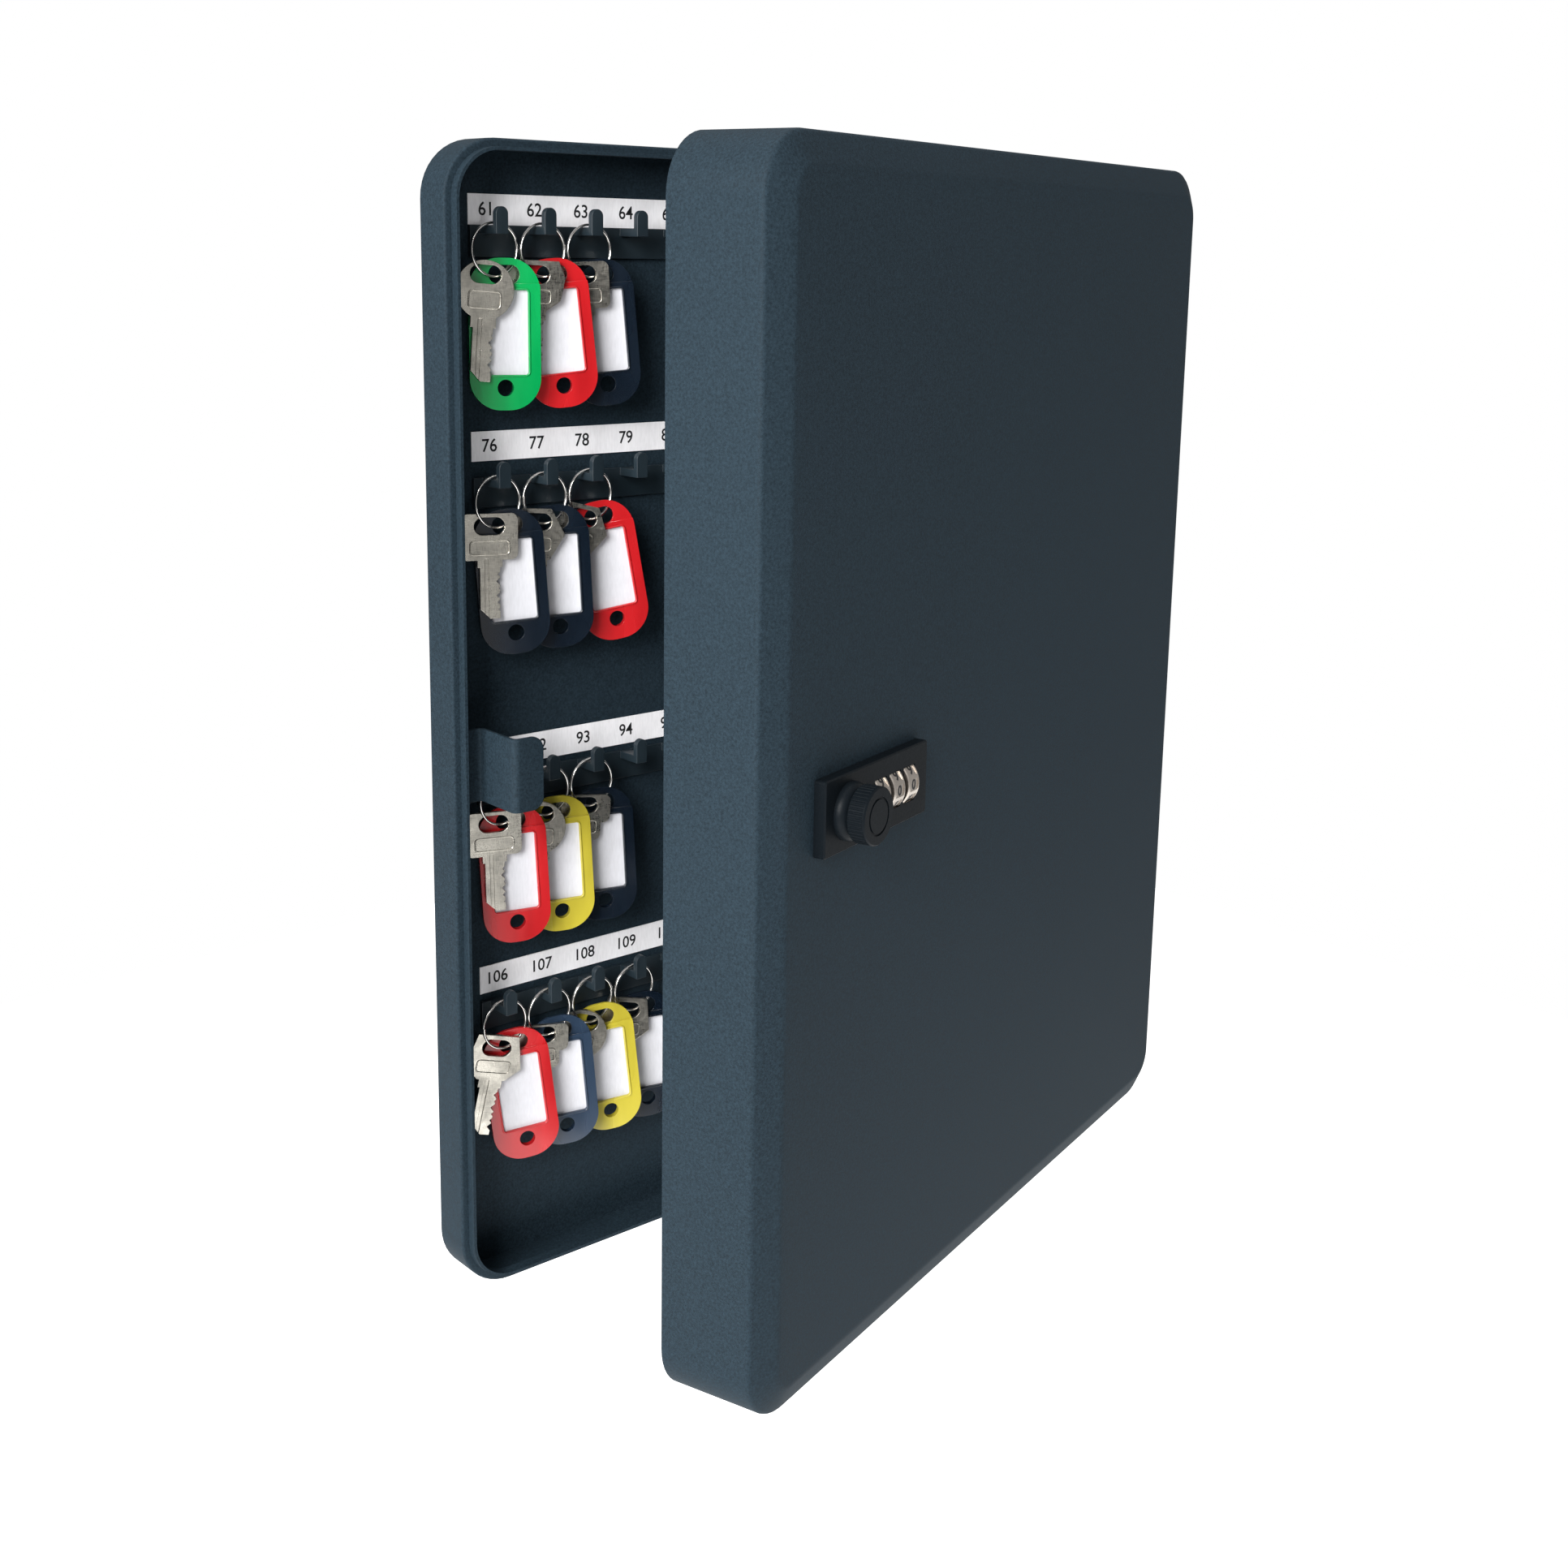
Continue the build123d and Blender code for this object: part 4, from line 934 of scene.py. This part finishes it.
class CABINET_OT_tags(bpy.types.Operator):
    """Finish the tags and their cards, and put a lip round each window."""

    bl_idname = "cabinet.tags"
    bl_label = "Key tags"

    def execute(self, context):
        width = context.scene.cabinet_sizes.moulded_edge
        for colour in TAG_COLOURS:
            plastic = tag_plastic("tag_" + colour)
            softened("key_tags_" + colour, plastic, TAG_EDGE_SHARE * width)
            sets = [entry for entry in KEY_SETS if entry[2] == colour]
            loops = np.concatenate([
                raised_loop(sets, 1, CARD_DROP, WINDOW_WIDTH + 2 * LIP_MARGIN,
                            WINDOW_HEIGHT + 2 * LIP_MARGIN, LIP_CORNER, face * TAG_THICK / 2, LIP_WIRE)
                for face in (1, -1)
            ])
            mesh = grid_mesh(f"window_lips_{colour}", loops, wrap_along=True)
            add_piece(mesh, f"window_lips_{colour}", plastic, "case")
        coat("tag_cards", paper("white_card"))
        return {"FINISHED"}


class CABINET_OT_keys(bpy.types.Operator):
    """Finish the keys and raise the panel on each bow."""

    bl_idname = "cabinet.keys"
    bl_label = "Keys"

    def execute(self, context):
        width = context.scene.cabinet_sizes.moulded_edge
        for bow, (drop, wide, high) in BOW_PANELS.items():
            softened(f"keys_{bow}_bow", plated("worn_key_nickel"), KEY_EDGE_SHARE * width)
            sets = [entry for entry in KEY_SETS if entry[3] == bow]
            loops = np.concatenate([
                raised_loop(sets, -1, drop, wide, high, PANEL_CORNER, face * KEY_THICK / 2, PANEL_WIRE)
                for face in (1, -1)
            ])
            mesh = grid_mesh(f"bow_panels_{bow}", loops, wrap_along=True)
            add_piece(mesh, f"bow_panels_{bow}", plated("worn_key_nickel"), "case")
        return {"FINISHED"}


class CABINET_OT_stage(bpy.types.Operator):
    """Make the floor, the soft lights and the camera."""

    bl_idname = "cabinet.stage"
    bl_label = "Studio"

    def execute(self, context):
        settings = context.scene.cabinet_stage
        add_floor()
        add_surround(settings.surround)
        add_softbox("side_light", settings.side_power, *SIDE_LIGHT)
        add_softbox("top_light", settings.top_power, *TOP_LIGHT)
        add_camera(settings.lens)
        context.scene.view_settings.view_transform = "Standard"
        return {"FINISHED"}


def add_floor():
    """Wide pale floor below the cabinet, gently uneven in tone."""
    corners = [
        (FLOOR_HALF * across, FLOOR_HALF * along, FLOOR_LEVEL)
        for across, along in ((-1, -1), (1, -1), (1, 1), (-1, 1))
    ]
    mesh = bpy.data.meshes.new("floor")
    mesh.from_pydata(corners, [], [(0, 1, 2, 3)])
    finish = Finish(
        "floor_white", Specular_IOR_Level=0.1, Roughness=0.9,
        Emission_Color=(1.0, 1.0, 1.0, 1.0), Emission_Strength=FLOOR_GLOW,
    )
    dark, light = FLOOR_TONES
    finish.set(Base_Color=finish.blend(finish.noise(FLOOR_MOTTLE), (dark,) * 3, (light,) * 3))
    mesh.materials.append(finish.material)
    floor = bpy.data.objects.new("floor", mesh)
    bpy.context.scene.collection.objects.link(floor)


def add_surround(strength):
    """White all round, which gives less light than it shows."""
    world = bpy.data.worlds.new("surround")
    world.use_nodes = True
    tree = world.node_tree
    background = tree.nodes["Background"]
    background.inputs["Color"].default_value = (1.0, 1.0, 1.0, 1.0)
    seen = tree.nodes.new("ShaderNodeLightPath")
    level = tree.nodes.new("ShaderNodeMix")
    level.inputs["A"].default_value = strength
    level.inputs["B"].default_value = 1.0
    tree.links.new(seen.outputs["Is Camera Ray"], level.inputs["Factor"])
    tree.links.new(level.outputs["Result"], background.inputs["Strength"])
    bpy.context.scene.world = world


def add_softbox(name, power, size, place, target):
    """Square soft light at a place, facing a target."""
    light = bpy.data.lights.new(name, "AREA")
    light.energy = power
    light.size = size
    holder = bpy.data.objects.new(name, light)
    holder.location = place
    holder.rotation_euler = (Vector(target) - Vector(place)).to_track_quat("-Z", "Y").to_euler()
    bpy.context.scene.collection.objects.link(holder)


def add_camera(lens):
    """Camera to the left of the cabinet and a little above, looking down and right."""
    level = math.cos(CAMERA_PITCH)
    forward = Vector((
        math.sin(CAMERA_YAW) * level, math.cos(CAMERA_YAW) * level, -math.sin(CAMERA_PITCH),
    ))
    right = Vector((math.cos(CAMERA_YAW), -math.sin(CAMERA_YAW), 0.0))
    up = right.cross(forward)
    rolled = math.cos(CAMERA_ROLL) * right + math.sin(CAMERA_ROLL) * up
    raised = rolled.cross(forward)
    camera = bpy.data.cameras.new("camera")
    camera.lens = lens
    camera.sensor_width = SENSOR_WIDTH_MM
    camera.shift_y = CAMERA_SHIFT
    camera.clip_start = NEAREST_SEEN
    holder = bpy.data.objects.new("camera", camera)
    holder.matrix_world = facing(CAMERA_PLACE, rolled, raised, -forward)
    bpy.context.scene.collection.objects.link(holder)
    bpy.context.scene.camera = holder


class CABINET_PT_sidebar(bpy.types.Panel):
    """Lists the cabinet's settings and pieces."""

    bl_idname = "CABINET_PT_sidebar"
    bl_label = "Key cabinet"
    bl_space_type = "VIEW_3D"
    bl_region_type = "UI"
    bl_category = "Cabinet"

    def draw(self, context):
        for group in GROUPS:
            settings = getattr(context.scene, group)
            for name in settings.bl_rna.properties.keys():
                if name not in ("rna_type", "name"):
                    self.layout.prop(settings, name)
        for operator in OPERATORS:
            self.layout.operator(operator.bl_idname)


GROUPS = {
    "cabinet_sizes": CabinetSizes,
    "cabinet_colours": CabinetColours,
    "cabinet_stage": CabinetStage,
}
OPERATORS = (
    CABINET_OT_sheets,
    CABINET_OT_hinges,
    CABINET_OT_hooks,
    CABINET_OT_labels,
    CABINET_OT_lock,
    CABINET_OT_dials,
    CABINET_OT_rings,
    CABINET_OT_tags,
    CABINET_OT_keys,
    CABINET_OT_stage,
)


def register():
    for made in (*GROUPS.values(), *OPERATORS, CABINET_PT_sidebar):
        bpy.utils.register_class(made)
    for name, group in GROUPS.items():
        setattr(bpy.types.Scene, name, bpy.props.PointerProperty(type=group))


def unregister():
    for name in GROUPS:
        delattr(bpy.types.Scene, name)
    for made in reversed((*GROUPS.values(), *OPERATORS, CABINET_PT_sidebar)):
        bpy.utils.unregister_class(made)


def main():
    """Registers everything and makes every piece."""
    register()
    for operator in OPERATORS:
        group, name = operator.bl_idname.split(".")
        getattr(getattr(bpy.ops, group), name)()


if __name__ == "__main__":
    main()
